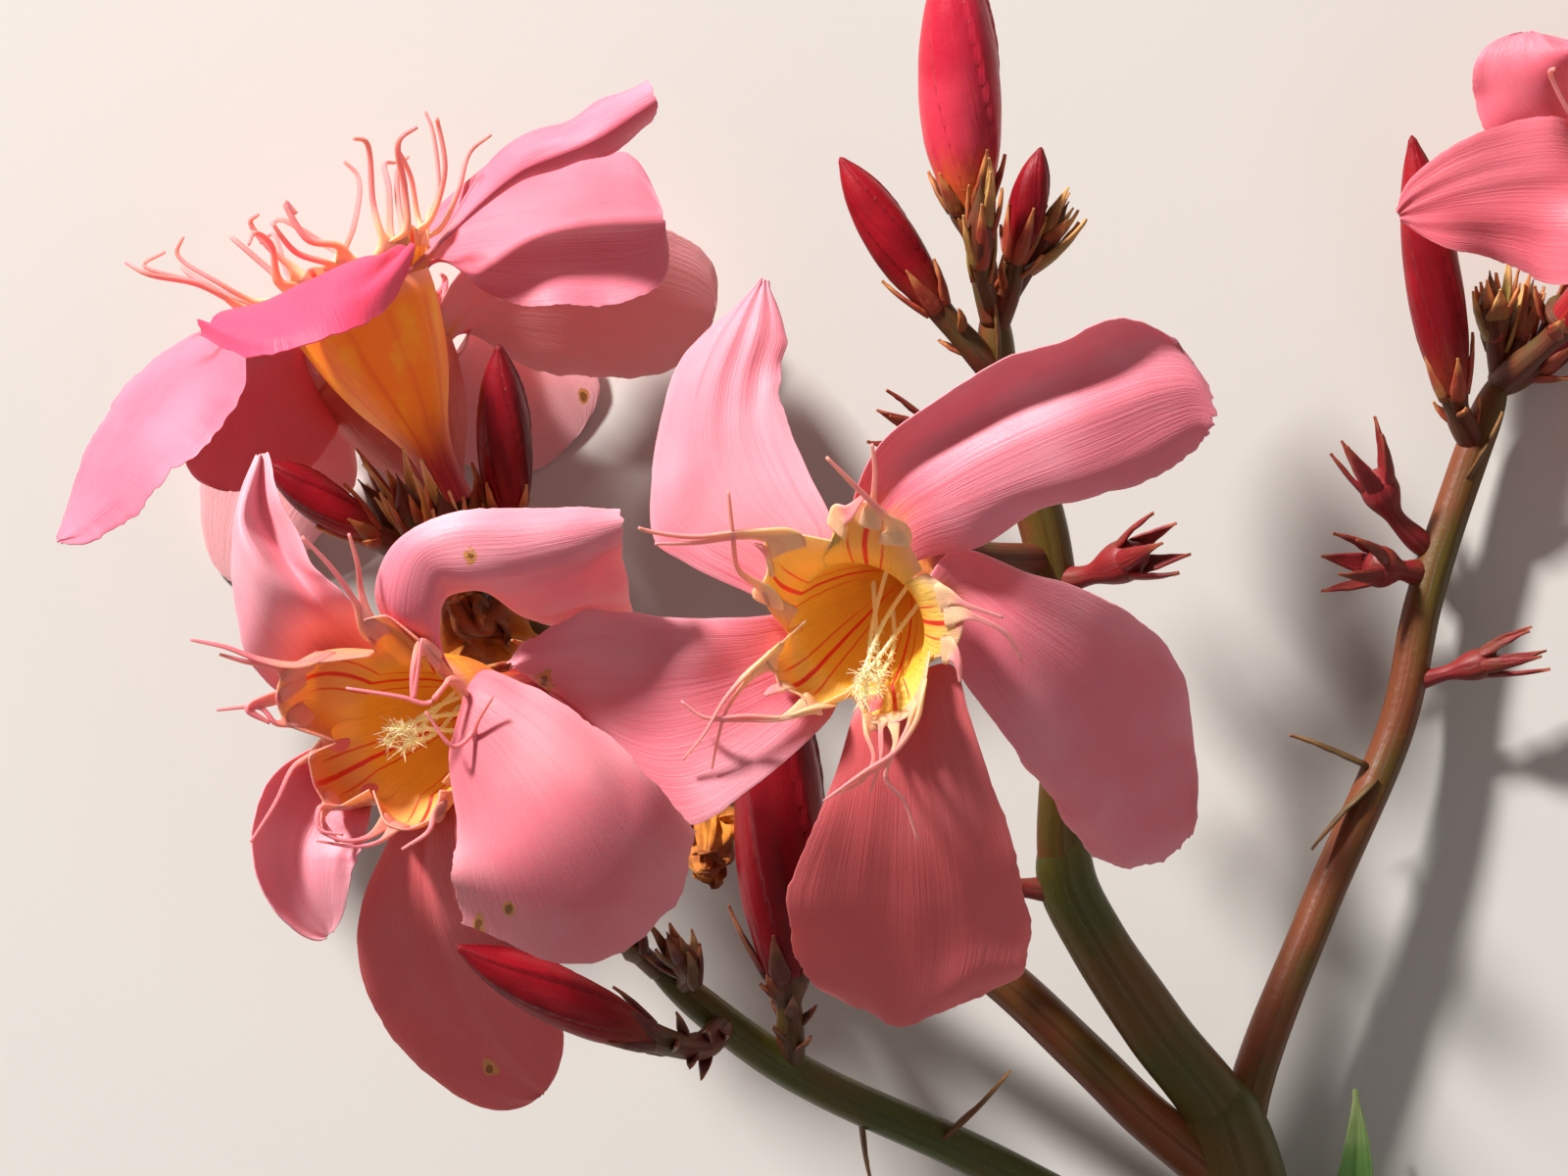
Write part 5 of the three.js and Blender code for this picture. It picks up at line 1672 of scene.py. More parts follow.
LEFT = Bloom(
    "bloom_left", (-17, -6.3, 29.5), (-25, -9.7, 41.5), 70,
    (
        DrapedPetal(
            (
                ((-27.8, -0.6, 47.6), (-26.6, 2.9, 50), (-23.2, 4.9, 51.4), (-18.6, 5.5, 51.6),
                 (-14.4, 5.5, 51), (-11.2, 5.4, 50)),
                ((-26, -1.6, 48.8), (-25, 2.2, 51.4), (-22.6, 3.4, 52.2), (-18.6, 3.6, 52.6),
                 (-14.4, 4.1, 52.2), (-11, 4.6, 51.2)),
                ((-24.2, -2.4, 48.6), (-23.4, 0.9, 51), (-21.4, 0.8, 51.4), (-18, 1.2, 51.6),
                 (-14, 2.2, 51.4), (-11, 3.4, 50.6)),
                ((-24, -2.8, 47.8), (-23.2, 0.2, 49.6), (-21.2, 0.2, 49.8), (-18.2, 0.5, 49.6),
                 (-14, 1.4, 49.2), (-11, 2.8, 48.8)),
                ((-23.4, -3.4, 46.6), (-22.9, -0.6, 47.4), (-20.6, -0.4, 47.4), (-17.6, -2.2, 44.6),
                 (-14, -2.8, 42.8), (-10.2, -1.8, 42)),
            ),
            ruffle=0.25, ragged=0.12,
        ),
        DrapedPetal(
            (
                ((-32.6, -7.8, 39.8), (-35.6, -6, 41.8), (-37.2, -2, 43.4), (-37.6, 3.4, 44),
                 (-36, 9, 43.6)),
                ((-30.6, -4.2, 41.6), (-33.2, -1, 46), (-35.6, 1.6, 47.4), (-36.9, 4.4, 46.8),
                 (-35.7, 9, 44)),
                ((-29.4, -3.4, 41.8), (-32, -0.6, 44.2), (-34, 2, 44), (-35.6, 5.2, 43.6),
                 (-35.6, 9.1, 43.6)),
                ((-27.4, -3.6, 42.6), (-29.8, -0.5, 46), (-31.8, 1.4, 46), (-33.8, 5.2, 45.4),
                 (-35.2, 9.2, 44)),
            ),
            ruffle=0.25, ragged=0.12,
        ),
        Petal((-35.8, -18, 44), (-31, -23.6, 41), (0.2, 0.28, 0.93), (5, 5), (1.2, 1.3), (0.5, 0.5), 2),
        Petal(
            (-24, -29, 33), (-16.4, -34.4, 30), (-0.1, -0.4, 0.85), (6.6, 5.6), (-0.3, 0.1),
            (0.55, 0.55), 2.4, tone=0.75,
        ),
        DrapedPetal(
            (
                ((-20.6, -5.6, 46.4), (-17.6, -6.6, 48.4), (-13.2, -9, 50), (-9.8, -12.2, 50.2),
                 (-6, -16.4, 47)),
                ((-21.4, -7, 48), (-17.6, -9.4, 50.4), (-13.6, -13.4, 51.6), (-10.8, -17.4, 50),
                 (-7.6, -21.6, 46)),
                ((-22, -8.8, 48), (-19.6, -13, 50), (-17.4, -17.4, 50.6), (-15.6, -21.4, 49),
                 (-13.6, -25.6, 45.6)),
                ((-22.7, -11, 47), (-22.5, -15, 48), (-22.4, -18.6, 48.4), (-22.4, -21, 47.4),
                 (-21.8, -22.8, 45.8)),
            ),
            ruffle=0.35, ragged=0.2, tone=0.3,
        ),
    ),
    finish=SALMON, crown_finish=CROWN_ROSE, seed=2,
    margins=(
        ((-27.7, -4.6, 46), (-28.8, -2.2, 48.4), (-28, -2, 48.6), (-27, -1.8, 48.8), (-26, -2.6, 48.8),
         (-24.8, -3.6, 48.8), (-23.4, -6, 47)),
        ((-30.3, -10.5, 44.6), (-33.8, -9.4, 46.6), (-34.2, -8.6, 46.8), (-34.6, -7.6, 47.2),
         (-34.4, -6.6, 47.4), (-34, -5.4, 47.8), (-27.7, -4.6, 46)),
        ((-28, -13.6, 43.6), (-30.8, -15.2, 45), (-31.4, -14.4, 45.2), (-32, -13.4, 45.4),
         (-32.2, -12.4, 45.6), (-32.4, -11.4, 45.8), (-30.3, -10.5, 44.6)),
        ((-23.4, -13.6, 44.4), (-23.8, -15.6, 45.2), (-24.6, -16, 45.4), (-25.4, -16.4, 45.4),
         (-26.2, -16.4, 45.4), (-27.2, -16, 45.2), (-28, -13.6, 43.6)),
        ((-23.4, -6, 47), (-21.8, -6.6, 48.4), (-21.4, -7.6, 48.4), (-21.2, -8.6, 48.4),
         (-21.2, -9.8, 48), (-21.4, -11, 47.2), (-23.4, -13.4, 44.6)),
    ),
    horns=(
        (
            Horn(-0.6, ((-29.4, -0.6, 49), (-30.8, 1.4, 50), (-32.8, 3.5, 51)), 1.0, 0.44, 0.5),
            Horn(-0.5, ((-28.8, 0, 49), (-29, 1.6, 50), (-29.6, 3.7, 51)), 0.8, 0.42, 0.5),
            Horn(0.6, ((-25.2, -5.4, 50), (-25.2, -7.6, 50.4), (-24.6, -3.4, 51)), 0.8, 0.42, 0.5),
        ),
        (
            Horn(0.6, ((-35.8, -4.8, 48), (-38, -4, 48.4), (-40.4, -3.5, 48.6)), 1.1, 0.46, 0.6),
            Horn(0.4, ((-34.8, -5.3, 47.6), (-36.6, -5, 48), (-38.4, -4.5, 48)), 0.8, 0.42, 0.5),
            Horn(-0.6, ((-34.6, -9.2, 46.8), (-35.6, -8.2, 47), (-38.6, -8.3, 46.8)), 1.0, 0.44, 0.5),
            Horn(0.0, ((-36.5, -8.2, 47.4), (-35, -9.2, 47)), 0.6, 0.5, 1.0),
        ),
        (
            Horn(0.6, ((-33.4, -12.2, 46), (-34.6, -14.6, 46.4), (-36.3, -17.3, 46.4)), 0.9, 0.42, 0.5),
            Horn(-0.6, ((-31.6, -15, 46), (-31.6, -16.4, 46.6), (-30, -16.8, 47)), 0.8, 0.4, 0.5),
            Horn(
                -0.4, ((-31.4, -15.8, 45.6), (-30.4, -17.2, 45.6), (-31.4, -16.2, 45.8)), 0.8, 0.4, 0.5,
            ),
        ),
        (
            Horn(0.6, ((-28.4, -17, 45.6), (-30, -17.2, 45.8), (-31.6, -16.6, 46)), 0.8, 0.4, 0.5),
            Horn(0.4, ((-27.4, -17.2, 45.6), (-29, -17.6, 45.6), (-31.8, -17.2, 45.6)), 0.8, 0.4, 0.5),
            Horn(-0.6, ((-24.2, -16.6, 45.8), (-26, -17.8, 46)), 0.8, 0.4, 0.6),
        ),
        (
            Horn(
                -0.6, ((-22.6, -6.2, 50), (-24.2, -7.8, 50.6), (-26, -7.4, 51), (-29.8, -6.8, 51)), 0.8,
                0.44, 0.5,
            ),
            Horn(0.0, ((-21, -9.6, 49.4), (-22.4, -10.8, 50.4), (-24.4, -8.4, 51)), 0.7, 0.4, 0.5),
            Horn(0.6, ((-20.9, -11.6, 48), (-21, -9.6, 50), (-19.8, -7.4, 51.4)), 0.8, 0.4, 0.5),
        ),
    ),
)
UPPER = Bloom(
    "bloom_upper", (-22.1, 5.3, 22), (-28.8, 19.7, 21), -110,
    (
        DrapedPetal(
            (
                ((-26.6, 22.2, 26), (-25.6, 23.4, 28), (-25.2, 21.8, 30)),
                ((-28.6, 22.4, 31), (-28.4, 20.6, 36.5), (-27.8, 18.4, 38.5)),
                ((-31.4, 21.2, 32.5), (-31.6, 19, 39), (-30.8, 17.2, 41.5)),
                ((-34, 20, 31.5), (-34.6, 18.2, 37.6), (-35, 15.9, 40)),
                ((-36.4, 19, 28.5), (-39, 18.2, 32), (-40, 17.4, 34)),
            ),
            ragged=0.3, tone=-1.0,
        ),
        DrapedPetal(
            (
                ((-19.5, 29.5, 22), (-14.5, 32, 22.5), (-9.4, 34.6, 23)),
                ((-18.8, 28.9, 25.5), (-14, 31.2, 27), (-9, 34, 27.2)),
                ((-18.2, 28.2, 26), (-13.2, 30.4, 28), (-8.6, 33, 27.4)),
                ((-18, 27.6, 23.5), (-12.6, 29.4, 25), (-8.9, 31.6, 25)),
            ),
            ruffle=0.25, ragged=0.12,
        ),
        Petal(
            (-14, 25, 19), (-8.2, 25, 17), (-0.15, 0.6, 0.75), (7.5, 7.5), (-0.1, -0.2), (0.65, 0.65), 3,
            tone=0.2,
        ),
        Petal(
            (-36.6, 12, 15.5), (-37.6, 6.6, 14), (-0.4, 0.3, -0.85), (6, 6), (-0.2, -0.2), (0.6, 0.6),
            2.4,
        ),
        Petal(
            (-43.6, 11, 22), (-49.4, 3.4, 20), (-0.65, 0.5, 0.6), (7.8, 7), (-0.3, -0.3), (0.35, 0.35),
            1.9, ragged=0.06, tone=-0.2,
        ),
    ),
    finish=ROSE, reach=9.5, seed=3,
)
BACK = Bloom(
    "bloom_back", (-21.3, 3.2, 13.5), (-27.2, 14.6, 9.25), 60,
    (
        Petal(
            (-19, 14, 2.4), (-14.2, 10.2, 0.4), (0, 0.1, -1), (6, 6.5), (0, 0), (0.5, 0.5), 3,
            ruffle=0.06, groove=0.0,
        ),
        Petal(
            (-35, 7, 2.6), (-37.4, 0.4, 0.4), (0, 0, -1), (5.4, 5.4), (0, 0), (0.5, 0.5), 2, ruffle=0.06,
            groove=0.0,
        ),
        Petal((-36.4, 13, 9), (-37, 7.6, 6.4), (-0.2, 0, -1), (5, 5), (0.1, 0.1), (0.5, 0.5), 2.4),
        Petal(
            (-29, 20.6, 12), (-31, 20.4, 4), (0, -0.6, -1), (5, 5), (0.1, 0.1), (0.5, 0.5), 2.4,
            ruffle=0.3, tone=-0.5,
        ),
        Petal(
            (-12, 19.6, 7), (-4.8, 18.4, 4), (0.2, 0.2, -1), (6.4, 6), (0.5, 0), (0.6, 0.6), 3,
            ruffle=0.3,
        ),
    ),
    finish=SHELL_PINK_PAINTED_LIT, crown_finish=CROWN_ROSE, funnel_finish=FUNNEL_SHADED, crown=0.4, seed=4,
)
RIGHT = Bloom(
    "bloom_right", (53.3, 18.3, 8), (60, 27.3, 17.5), 9,
    (
        Petal((72, 26, 14), (77.5, 20.5, 6), (0.3, -0.1, 0.9), (7, 7), (-0.3, -0.2), (0.6, 0.6), 2.6),
        Petal((65.4, 38, 11), (68, 41.5, 2), (0.1, 0.6, 0.7), (7, 7), (-0.3, -0.2), (0.6, 0.6), 2.6),
        Petal(
            (50, 33, 25), (50.6, 37.8, 22), (-0.3, -0.2, 0.9), (5.4, 5.4), (-0.2, -0.3), (0.5, 0.5), 2.6,
            tone=0.3,
        ),
        Petal(
            (48.8, 28.4, 25), (41.8, 25.4, 22), (-0.15, -0.25, 0.95), (7.2, 5.2), (-0.3, -0.2),
            (0.3, 0.35), 1.8, tone=0.45,
        ),
        Petal((64, 14.5, 22), (63, 8.5, 17), (0, -0.3, 0.95), (6.5, 6.5), (-0.2, -0.2), (0.6, 0.6), 2.6),
    ),
    finish=ROSE, seed=5,
)
BLOOMS = {bloom.name: bloom for bloom in (FRONT, LEFT, UPPER, BACK, RIGHT)}


# Sepals, stalks, buds, calyxes and withered flowers


SEPAL_CELLS = 8


def sepal(shell: Shell, root: Array, tip: Array, away: Array, half: float, finish: int, part: float,
          bow: float = 0.25, rows: int = 12, seed: int = 0) -> None:
    """Adds one pointed sepal: a narrow blade from root to tip that bows away from its body.

    Args:
        shell: What it becomes part of.
        root: Its foot.
        tip: Its point.
        away: The way out from its body, along which it bows.
        half: Its half width.
        finish: Which finish it wears.
        part: Its value of the mark part.
        bow: How far it bows, as a share of its length.
        rows: Steps along it.
        seed: Picks its unevenness.
    """
    length = float(np.linalg.norm(tip - root))
    lead = unit(tip - root + away * bow * length)
    bend = mixed(root, tip, 0.6) + away * bow * length * 0.5
    Sheet(
        root=root, lead=lead, bend=bend, tip=tip, centre=root - away, face=unit(-away),
        wide=(half, half), curl=(0.7, 0.7), peak=(0.25, 0.25), blunt=1.15, root_width=0.75,
        root_curl=0.8, thickness=0.34, ruffle=0.08, seed=seed,
    ).add_to(shell, rows, SEPAL_CELLS, finish, part)


def whorl(right: Array, up: Array, phase: float) -> list[Array]:
    """Five ways out from an axis at even turns, the first at an angle of phase."""
    return [leaning(right, up, index * TURN / PETAL_COUNT + phase) for index in range(PETAL_COUNT)]


@dataclass(frozen=True)
class Stalk:
    """The stalk of a bloom, with five sepals round the funnel's foot."""

    name: str
    bloom: str
    way: tuple[Spot, ...]
    radius: float = 0.95

    ROWS = 34
    COLUMNS = 20
    FLARE_FROM = 0.72

    def build(self, shop: Workshop) -> None:
        """Makes the stalk and its calyx.

        Args:
            shop: Makes the piece.
        """
        bloom = BLOOMS[self.bloom]
        foot, axis = bloom.foot, bloom.axis
        shell = Shell()
        knots = np.array([*(seen(spot) for spot in self.way), foot - axis * 1.4, foot + axis * 0.4])
        share = np.linspace(0, 1, self.ROWS)
        flare = 0.95 * smooth(share, self.FLARE_FROM, 1.0)
        radius = self.radius * (1 + 0.12 * np.sin(9 * share)) + flare
        shell.limb(Path(knots), share, radius, self.COLUMNS, along=0.6 * share[:, None])
        for index, way in enumerate(whorl(*bloom.across(), 0.4)):
            root = foot + way * 1.45 - axis * 1.0
            tip = foot + axis * (1.9 + 0.6 * math.sin(GOLDEN * index)) + way * 3.4
            sepal(shell, root, tip, way, 0.75, 1, 0.2 * index, 0.2, seed=index)
        shop.piece(f"stem_of_{self.bloom}", shell, [STALK, SEPAL], Slot.STALK, self.name)


@dataclass(frozen=True)
class Bud:
    """A closed bud: five petal edges wind round a spindle that five sepals hold."""

    name: str
    way: tuple[Spot, ...]
    foot: Spot
    tip: Spot
    radius: float
    finish: SkinFinish = BUD
    sepal_finish: SkinFinish = SEPAL
    bracts: int = 2
    spread: float = 1.0
    length: float = 1.0
    seed: int = 1

    SHARES = (0.0, 0.1, 0.28, 0.45, 0.62, 0.78, 0.91, 1.0)
    SWELL = (0.5, 0.66, 0.9, 1.0, 0.96, 0.76, 0.42, 0.05)
    TIP_SWELL = 0.03
    BLUR = 7
    TWIST = 0.42
    SEAM = 0.1
    ROWS = 60
    COLUMNS = 70
    STALK_ROWS = 20
    STALK_COLUMNS = 16
    STALK_RADIUS = 0.95
    OVERLAP = 0.04

    def build(self, shop: Workshop) -> None:
        """Makes the bud, its sepals and its stalk.

        The spindle's radius is the bud's swell times 1 + 0.1 s(c), where c runs from 0 to 1 round
        each of five petals and s falls steadily from one petal edge to the next, so the edges
        stand out as seams that wind up the bud.

        Args:
            shop: Makes the piece.
        """
        shell = Shell()
        foot, tip = seen(self.foot), seen(self.tip)
        knots = np.array([*(seen(spot) for spot in self.way), foot, tip])
        whole = Path(knots)
        spans = len(knots) - 1
        neck_end = (spans - 1) / spans
        axis = unit(tip - foot)
        neck = min(self.STALK_RADIUS, 0.6 * self.radius)
        share = np.linspace(0, neck_end + self.OVERLAP / spans, self.STALK_ROWS)
        swells = (0.56 * self.radius - neck) * smooth(share, neck_end * 0.7, neck_end)
        radius = neck * (1 + 0.08 * np.sin(8 * share)) + swells
        shell.limb(whole, share, radius, self.STALK_COLUMNS, 1, along=0.5 * share[:, None])
        local = np.linspace(0, 1, self.ROWS)
        turn = (np.arange(self.COLUMNS) + 0.5) / self.COLUMNS
        phase = PETAL_COUNT * turn[None, :] + self.TWIST * local[:, None] * PETAL_COUNT / 2
        crest = phase - np.floor(phase)
        step = (0.5 - crest) * smooth(crest, 0.0, 0.06)
        swell = eased(np.interp(local, self.SHARES, self.SWELL), np.ones(self.BLUR))
        swell[-1] = self.TIP_SWELL
        seamed = smooth(local, 0.12, 0.3) * (1 - smooth(local, 0.93, 1.0))
        relief = 1 + self.SEAM * step * seamed[:, None]
        rings, _ = whole.tube(neck_end + local / spans, self.radius * swell[:, None] * relief, self.COLUMNS)
        shell.loft(rings, 0, along=local[:, None], across=(2 * crest - 1), part=0.1 * self.seed)
        _, _, normals, binormals = whole.frame(np.array([neck_end]))
        rng = Draw.BUD.row(self.seed)
        for index, way in enumerate(whorl(normals[0], binormals[0], 0.5 * self.seed)):
            root = foot + way * 0.5 * self.radius - axis * 0.4
            reach = self.length * rng.uniform(2.6, 4.0)
            tip_at = foot + axis * reach + way * (0.72 * self.radius + self.spread * rng.uniform(0.3, 1.0))
            half = 0.4 + 0.14 * self.radius
            sepal(shell, root, tip_at, way, half, 2, 0.2 * index, 0.1, seed=index + self.seed)
        places = np.linspace(0.25, 0.92, 2 * self.bracts) * neck_end
        points, tangents, normals, binormals = whole.frame(places)
        for index in range(2 * self.bracts):
            way = leaning(normals[index], binormals[index], index * GOLDEN + self.seed)
            root = points[index] + way * 0.75 * neck
            tip_at = root + tangents[index] * rng.uniform(1.6, 2.8) + way * rng.uniform(0.7, 1.5)
            sepal(shell, root, tip_at, way, 0.55, 2, 0.2 * index, 0.15, 10, index + self.seed)
        shop.piece(f"{self.name}_skin", shell, [self.finish, STALK, self.sepal_finish], Slot.BUD, self.name)


@dataclass(frozen=True)
class YoungBud:
    """A bud still wrapped in its sepals, whose points stand off it."""

    name: str
    way: tuple[Spot, ...]
    tip: Spot
    radius: float
    finish: SkinFinish = SEPAL_GREEN
    other: SkinFinish = SEPAL
    sepals: int = 9
    seed: int = 1

    ROWS = 30
    COLUMNS = 16

    def build(self, shop: Workshop) -> None:
        """Makes the core, the stalk and the sepals, which stand off it in whorls.

        Args:
            shop: Makes the piece.
        """
        shell = Shell()
        knots = np.array([*(seen(spot) for spot in self.way), seen(self.tip)])
        path = Path(knots)
        spans = len(knots) - 1
        split = (spans - 1) / spans
        foot, tip = knots[-2], knots[-1]
        axis, length = unit(tip - foot), float(np.linalg.norm(tip - foot))
        share = np.linspace(0, 1, self.ROWS)
        local = np.clip((share - split) * spans, 0, 1)
        core = mixed(0.65, 0.9, smooth(local, 0, 0.35)) * (1 - smooth(local, 0.4, 1.0)) + 0.04
        radius = self.radius * np.where(share < split, 0.6, core)
        shell.limb(path, share, radius, self.COLUMNS, along=share[:, None] * 0.8)
        _, _, normals, binormals = path.frame(np.array([split]))
        rng = Draw.YOUNG_BUD.row(self.seed)
        for index in range(self.sepals):
            way = leaning(normals[0], binormals[0], index * GOLDEN + self.seed)
            low = (index % 3 - 1) * 0.22 * length
            root = foot + way * 0.55 * self.radius + axis * low
            reach = rng.uniform(0.62, 1.12) * length
            tip_at = foot + axis * (reach + 0.6 * low) + way * self.radius * rng.uniform(0.7, 1.9)
            half = rng.uniform(0.5, 0.78) * self.radius
            bow = rng.uniform(0.05, 0.2)
            sepal(shell, root, tip_at, way, half, 1 + index % 2, 0.15 * index, bow, seed=index)
        shop.piece(f"{self.name}_skin", shell, [STALK, self.finish, self.other], Slot.YOUNG, self.name)


@dataclass(frozen=True)
class SpentCalyx:
    """A calyx whose flower has dropped: a cup with narrow sepals that stand out."""

    name: str
    way: tuple[Spot, ...]
    radius: float
    horn: float
    seed: int = 1

    ROWS = 24
    COLUMNS = 18

    def build(self, shop: Workshop) -> None:
        """Makes the short stalk, the cup and the sepals.

        Args:
            shop: Makes the piece.
        """
        shell = Shell()
        knots = np.array([seen(spot) for spot in self.way])
        path = Path(knots)
        share = np.linspace(0, 1, self.ROWS)
        cup = 0.55 + 0.45 * smooth(share, 0.5, 0.8) - 0.45 * smooth(share, 0.86, 1.0)
        radius = self.radius * (cup + 0.12 * np.sin(9 * share) * (1 - share))
        shell.limb(path, share, radius, self.COLUMNS, along=0.6 * share[:, None])
        points, tangents, normals, binormals = path.frame(np.array([0.8, 1.0]))
        rng = Draw.CALYX.row(self.seed)
        axis = tangents[1]
        for index, way in enumerate(whorl(normals[1], binormals[1], 0.3 * self.seed)):
            root = points[0] + way * self.radius * 0.75
            reach = self.horn * rng.uniform(0.85, 1.1)
            tip = points[1] + axis * reach + way * self.radius * rng.uniform(1.1, 1.9)
            bow = rng.uniform(0.05, 0.2)
            sepal(shell, root, tip, way, 0.55 * self.radius, 0, 0.2 * index, bow, seed=index)
        shop.piece(f"{self.name}_skin", shell, [SPENT], Slot.SPENT, self.name)


@dataclass(frozen=True)
class DriedFlower:
    """A withered flower: a lobed, crumpled mass with dry flaps on it."""

    name: str
    way: tuple[Spot, ...]
    radii: tuple[float, ...]
    seed: int = 1

    ROWS = 60
    COLUMNS = 48
    SHRINK = 0.92
    FLAPS = 6
    FLAP_ROWS = 14
    FLAP_CELLS = 10
    FLAP_SEEDS = 40

    def build(self, shop: Workshop) -> None:
        """Makes the crumpled core and its flaps.

        The core's radius is its swell times 1 + 0.3 sin(3a + 9t) + 0.16 sin(8a - 13t), and the
        flaps are blades that wind along it.

        Args:
            shop: Makes the piece.
        """
        shell = Shell()
        knots = np.array([seen(spot) for spot in self.way])
        path = Path(knots)
        share = np.linspace(0, 1, self.ROWS)
        angle = corners_round(self.COLUMNS)
        t = share[:, None]
        crumple = 1 + 0.3 * np.sin(3 * angle + 9 * t) + 0.16 * np.sin(8 * angle - 13 * t + self.seed)
        crumple = crumple + 0.14 * ripple(2.2 * angle / math.pi, 5 * t, self.seed)
        radius = profile(self.radii, t) * crumple * self.SHRINK
        shell.limb(path, share, radius, self.COLUMNS, along=0.8 * t)
        rng = Draw.FLAPS.row(self.seed)
        places = np.linspace(0.45, 0.9, self.FLAPS)
        points, tangents, normals, binormals = path.frame(places)
        for index, forward in enumerate(tangents):
            way = leaning(normals[index], binormals[index], index * GOLDEN)
            reach = float(profile(self.radii, places[index]))
            root = points[index] + way * 0.5 * reach
            tip = root + way * reach * 0.9 + forward * rng.uniform(0.5, 2.0)
            Sheet(
                root=root, lead=unit(way + forward * 0.5), bend=mixed(root, tip, 0.6) + forward * 0.6,
                tip=tip, centre=root + forward, face=unit(forward + 0.3 * normals[index]),
                wide=(1.5, 1.2), curl=(0.9, -0.7), peak=(0.5, 0.45), blunt=2.0, root_width=0.6,
                root_curl=0.8, thickness=0.25, ruffle=0.7, waves=2.0, ragged=0.12,
                seed=self.FLAP_SEEDS + index,
            ).add_to(shell, self.FLAP_ROWS, self.FLAP_CELLS, 0, 0.1 * index)
        shop.piece(f"{self.name}_petals", shell, [DRY], Slot.DRIED, self.name)


STALKS = (
    Stalk("stalk_front", "bloom_front", ((18, 2, 20), (14, 2.2, 26))),
    Stalk("stalk_left", "bloom_left", ((-12, -7, 14.8), (-13.5, -6, 23))),
    Stalk("stalk_upper", "bloom_upper", ((-21, 0.2, 17.6), (-21.6, 2, 20))),
    Stalk("stalk_back", "bloom_back", ((-18, -2.2, 16.6), (-20, -0.3, 16))),
    Stalk("stalk_right", "bloom_right", ((48.6, 14, 3), (50.5, 15.5, 5.5))),
)
BUDS = (
    Bud(
        "bud_top_large", ((14.3, 18, 23), (13.4, 22.5, 24.5)), (12.6, 26, 25), (11.5, 44.2, 28), 2.9,
        BUD_PINK,
    ),
    Bud(
        "bud_top_side", ((14.8, 14, 22.2), (12.8, 16.4, 23.5)), (10.3, 19.3, 24.5), (3.8, 29.3, 26), 1.8,
        seed=2,
    ),
    Bud(
        "bud_top_small", ((14.4, 17.5, 22.8), (15.4, 20.5, 24.5)), (15.8, 22.6, 25.5), (17.5, 30, 27),
        1.35, seed=3,
    ),
    Bud(
        "bud_left_dark", ((-20, -0.9, 17), (-19.2, 2.2, 21)), (-18.8, 4.6, 23.5), (-19.4, 16.6, 27.5),
        1.95, BUD_DARK_PAINTED_SHADE, seed=4,
    ),
    Bud(
        "bud_left_red", ((-21.5, 0.5, 17.8), (-25.5, 2.2, 23)), (-28.3, 3.8, 26.5), (-35.2, 8.6, 29.5),
        1.6, seed=5,
    ),
    Bud(
        "bud_low_side", ((-4.2, -29.8, 25), (-5.8, -31.2, 31)), (-9.4, -30.4, 36.5), (-22.3, -24.4, 42),
        2.0, sepal_finish=SEPAL_DARK_PAINTED_SHADE, bracts=5, seed=6,
    ),
    Bud(
        "bud_low_large", ((0.5, -32.6, 21.8), (0.4, -29.6, 24.5)), (0.2, -26, 26.5), (-0.7, -4, 32), 3.2,
        BUD_DARK_PAINTED_SHADE, sepal_finish=SEPAL_DARK_PAINTED_SHADE, bracts=5, spread=2.4, length=1.45, seed=7,
    ),
    Bud(
        "bud_right_long", ((47, 9.6, 3.5), (46, 11.5, 5)), (45.5, 13.4, 6.5), (42.7, 30.8, 9.5), 2.05,
        seed=8,
    ),
    Bud(
        "bud_right_dark", ((48.5, 13.8, 3), (50, 14.4, 2.6)), (51.4, 15.3, 2.3), (57, 22.8, 2.6), 1.9,
        BUD_DARK_PAINTED_SHADE, seed=9,
    ),
)
YOUNG_BUDS = (
    YoungBud("young_top_right", ((14.4, 18.2, 23), (17, 22.5, 24)), (19.4, 26.3, 25), 1.05, seed=1),
    YoungBud("young_top_left", ((14.3, 18.5, 23), (13.4, 22, 27.6)), (13.4, 28, 30.5), 1.05, seed=2),
    YoungBud(
        "young_left_1", ((-22, 0.8, 18), (-25.5, 3.4, 21)), (-29, 7.4, 24), 1.1, SEPAL_YELLOW_PAINTED_LIT, sepals=6,
        seed=3,
    ),
    YoungBud(
        "young_left_2", ((-22, 0.8, 18), (-24.6, 3.6, 23.5)), (-26.4, 7.8, 27), 1.1, SEPAL_YELLOW_PAINTED_LIT,
        sepals=6, seed=4,
    ),
    YoungBud(
        "young_left_3", ((-22, 0.8, 18), (-22.2, 2.8, 24)), (-23.6, 6.8, 29), 1, SEPAL_YELLOW_PAINTED_LIT, sepals=6,
        seed=5,
    ),
    YoungBud(
        "young_low_1", ((-8.6, -26, 27.8), (-10.4, -24.3, 30)), (-12.6, -21.8, 32), 1.3, BRACT,
        SEPAL_DARK_PAINTED_SHADE, seed=6,
    ),
    YoungBud(
        "young_low_2", ((-7, -27.2, 26.8), (-6.6, -26.2, 29)), (-8, -23.4, 31.6), 1.15, BRACT,
        SEPAL_DARK_PAINTED_SHADE, seed=7,
    ),
    YoungBud("young_right_1", ((48.7, 14.3, 3), (48.4, 17, 4.6)), (48, 21.6, 6.2), 1.3, seed=8),
    YoungBud("young_right_2", ((48.7, 14.3, 3), (49.8, 17, 3.2)), (51, 21, 3.4), 1.15, SEPAL, seed=9),
)
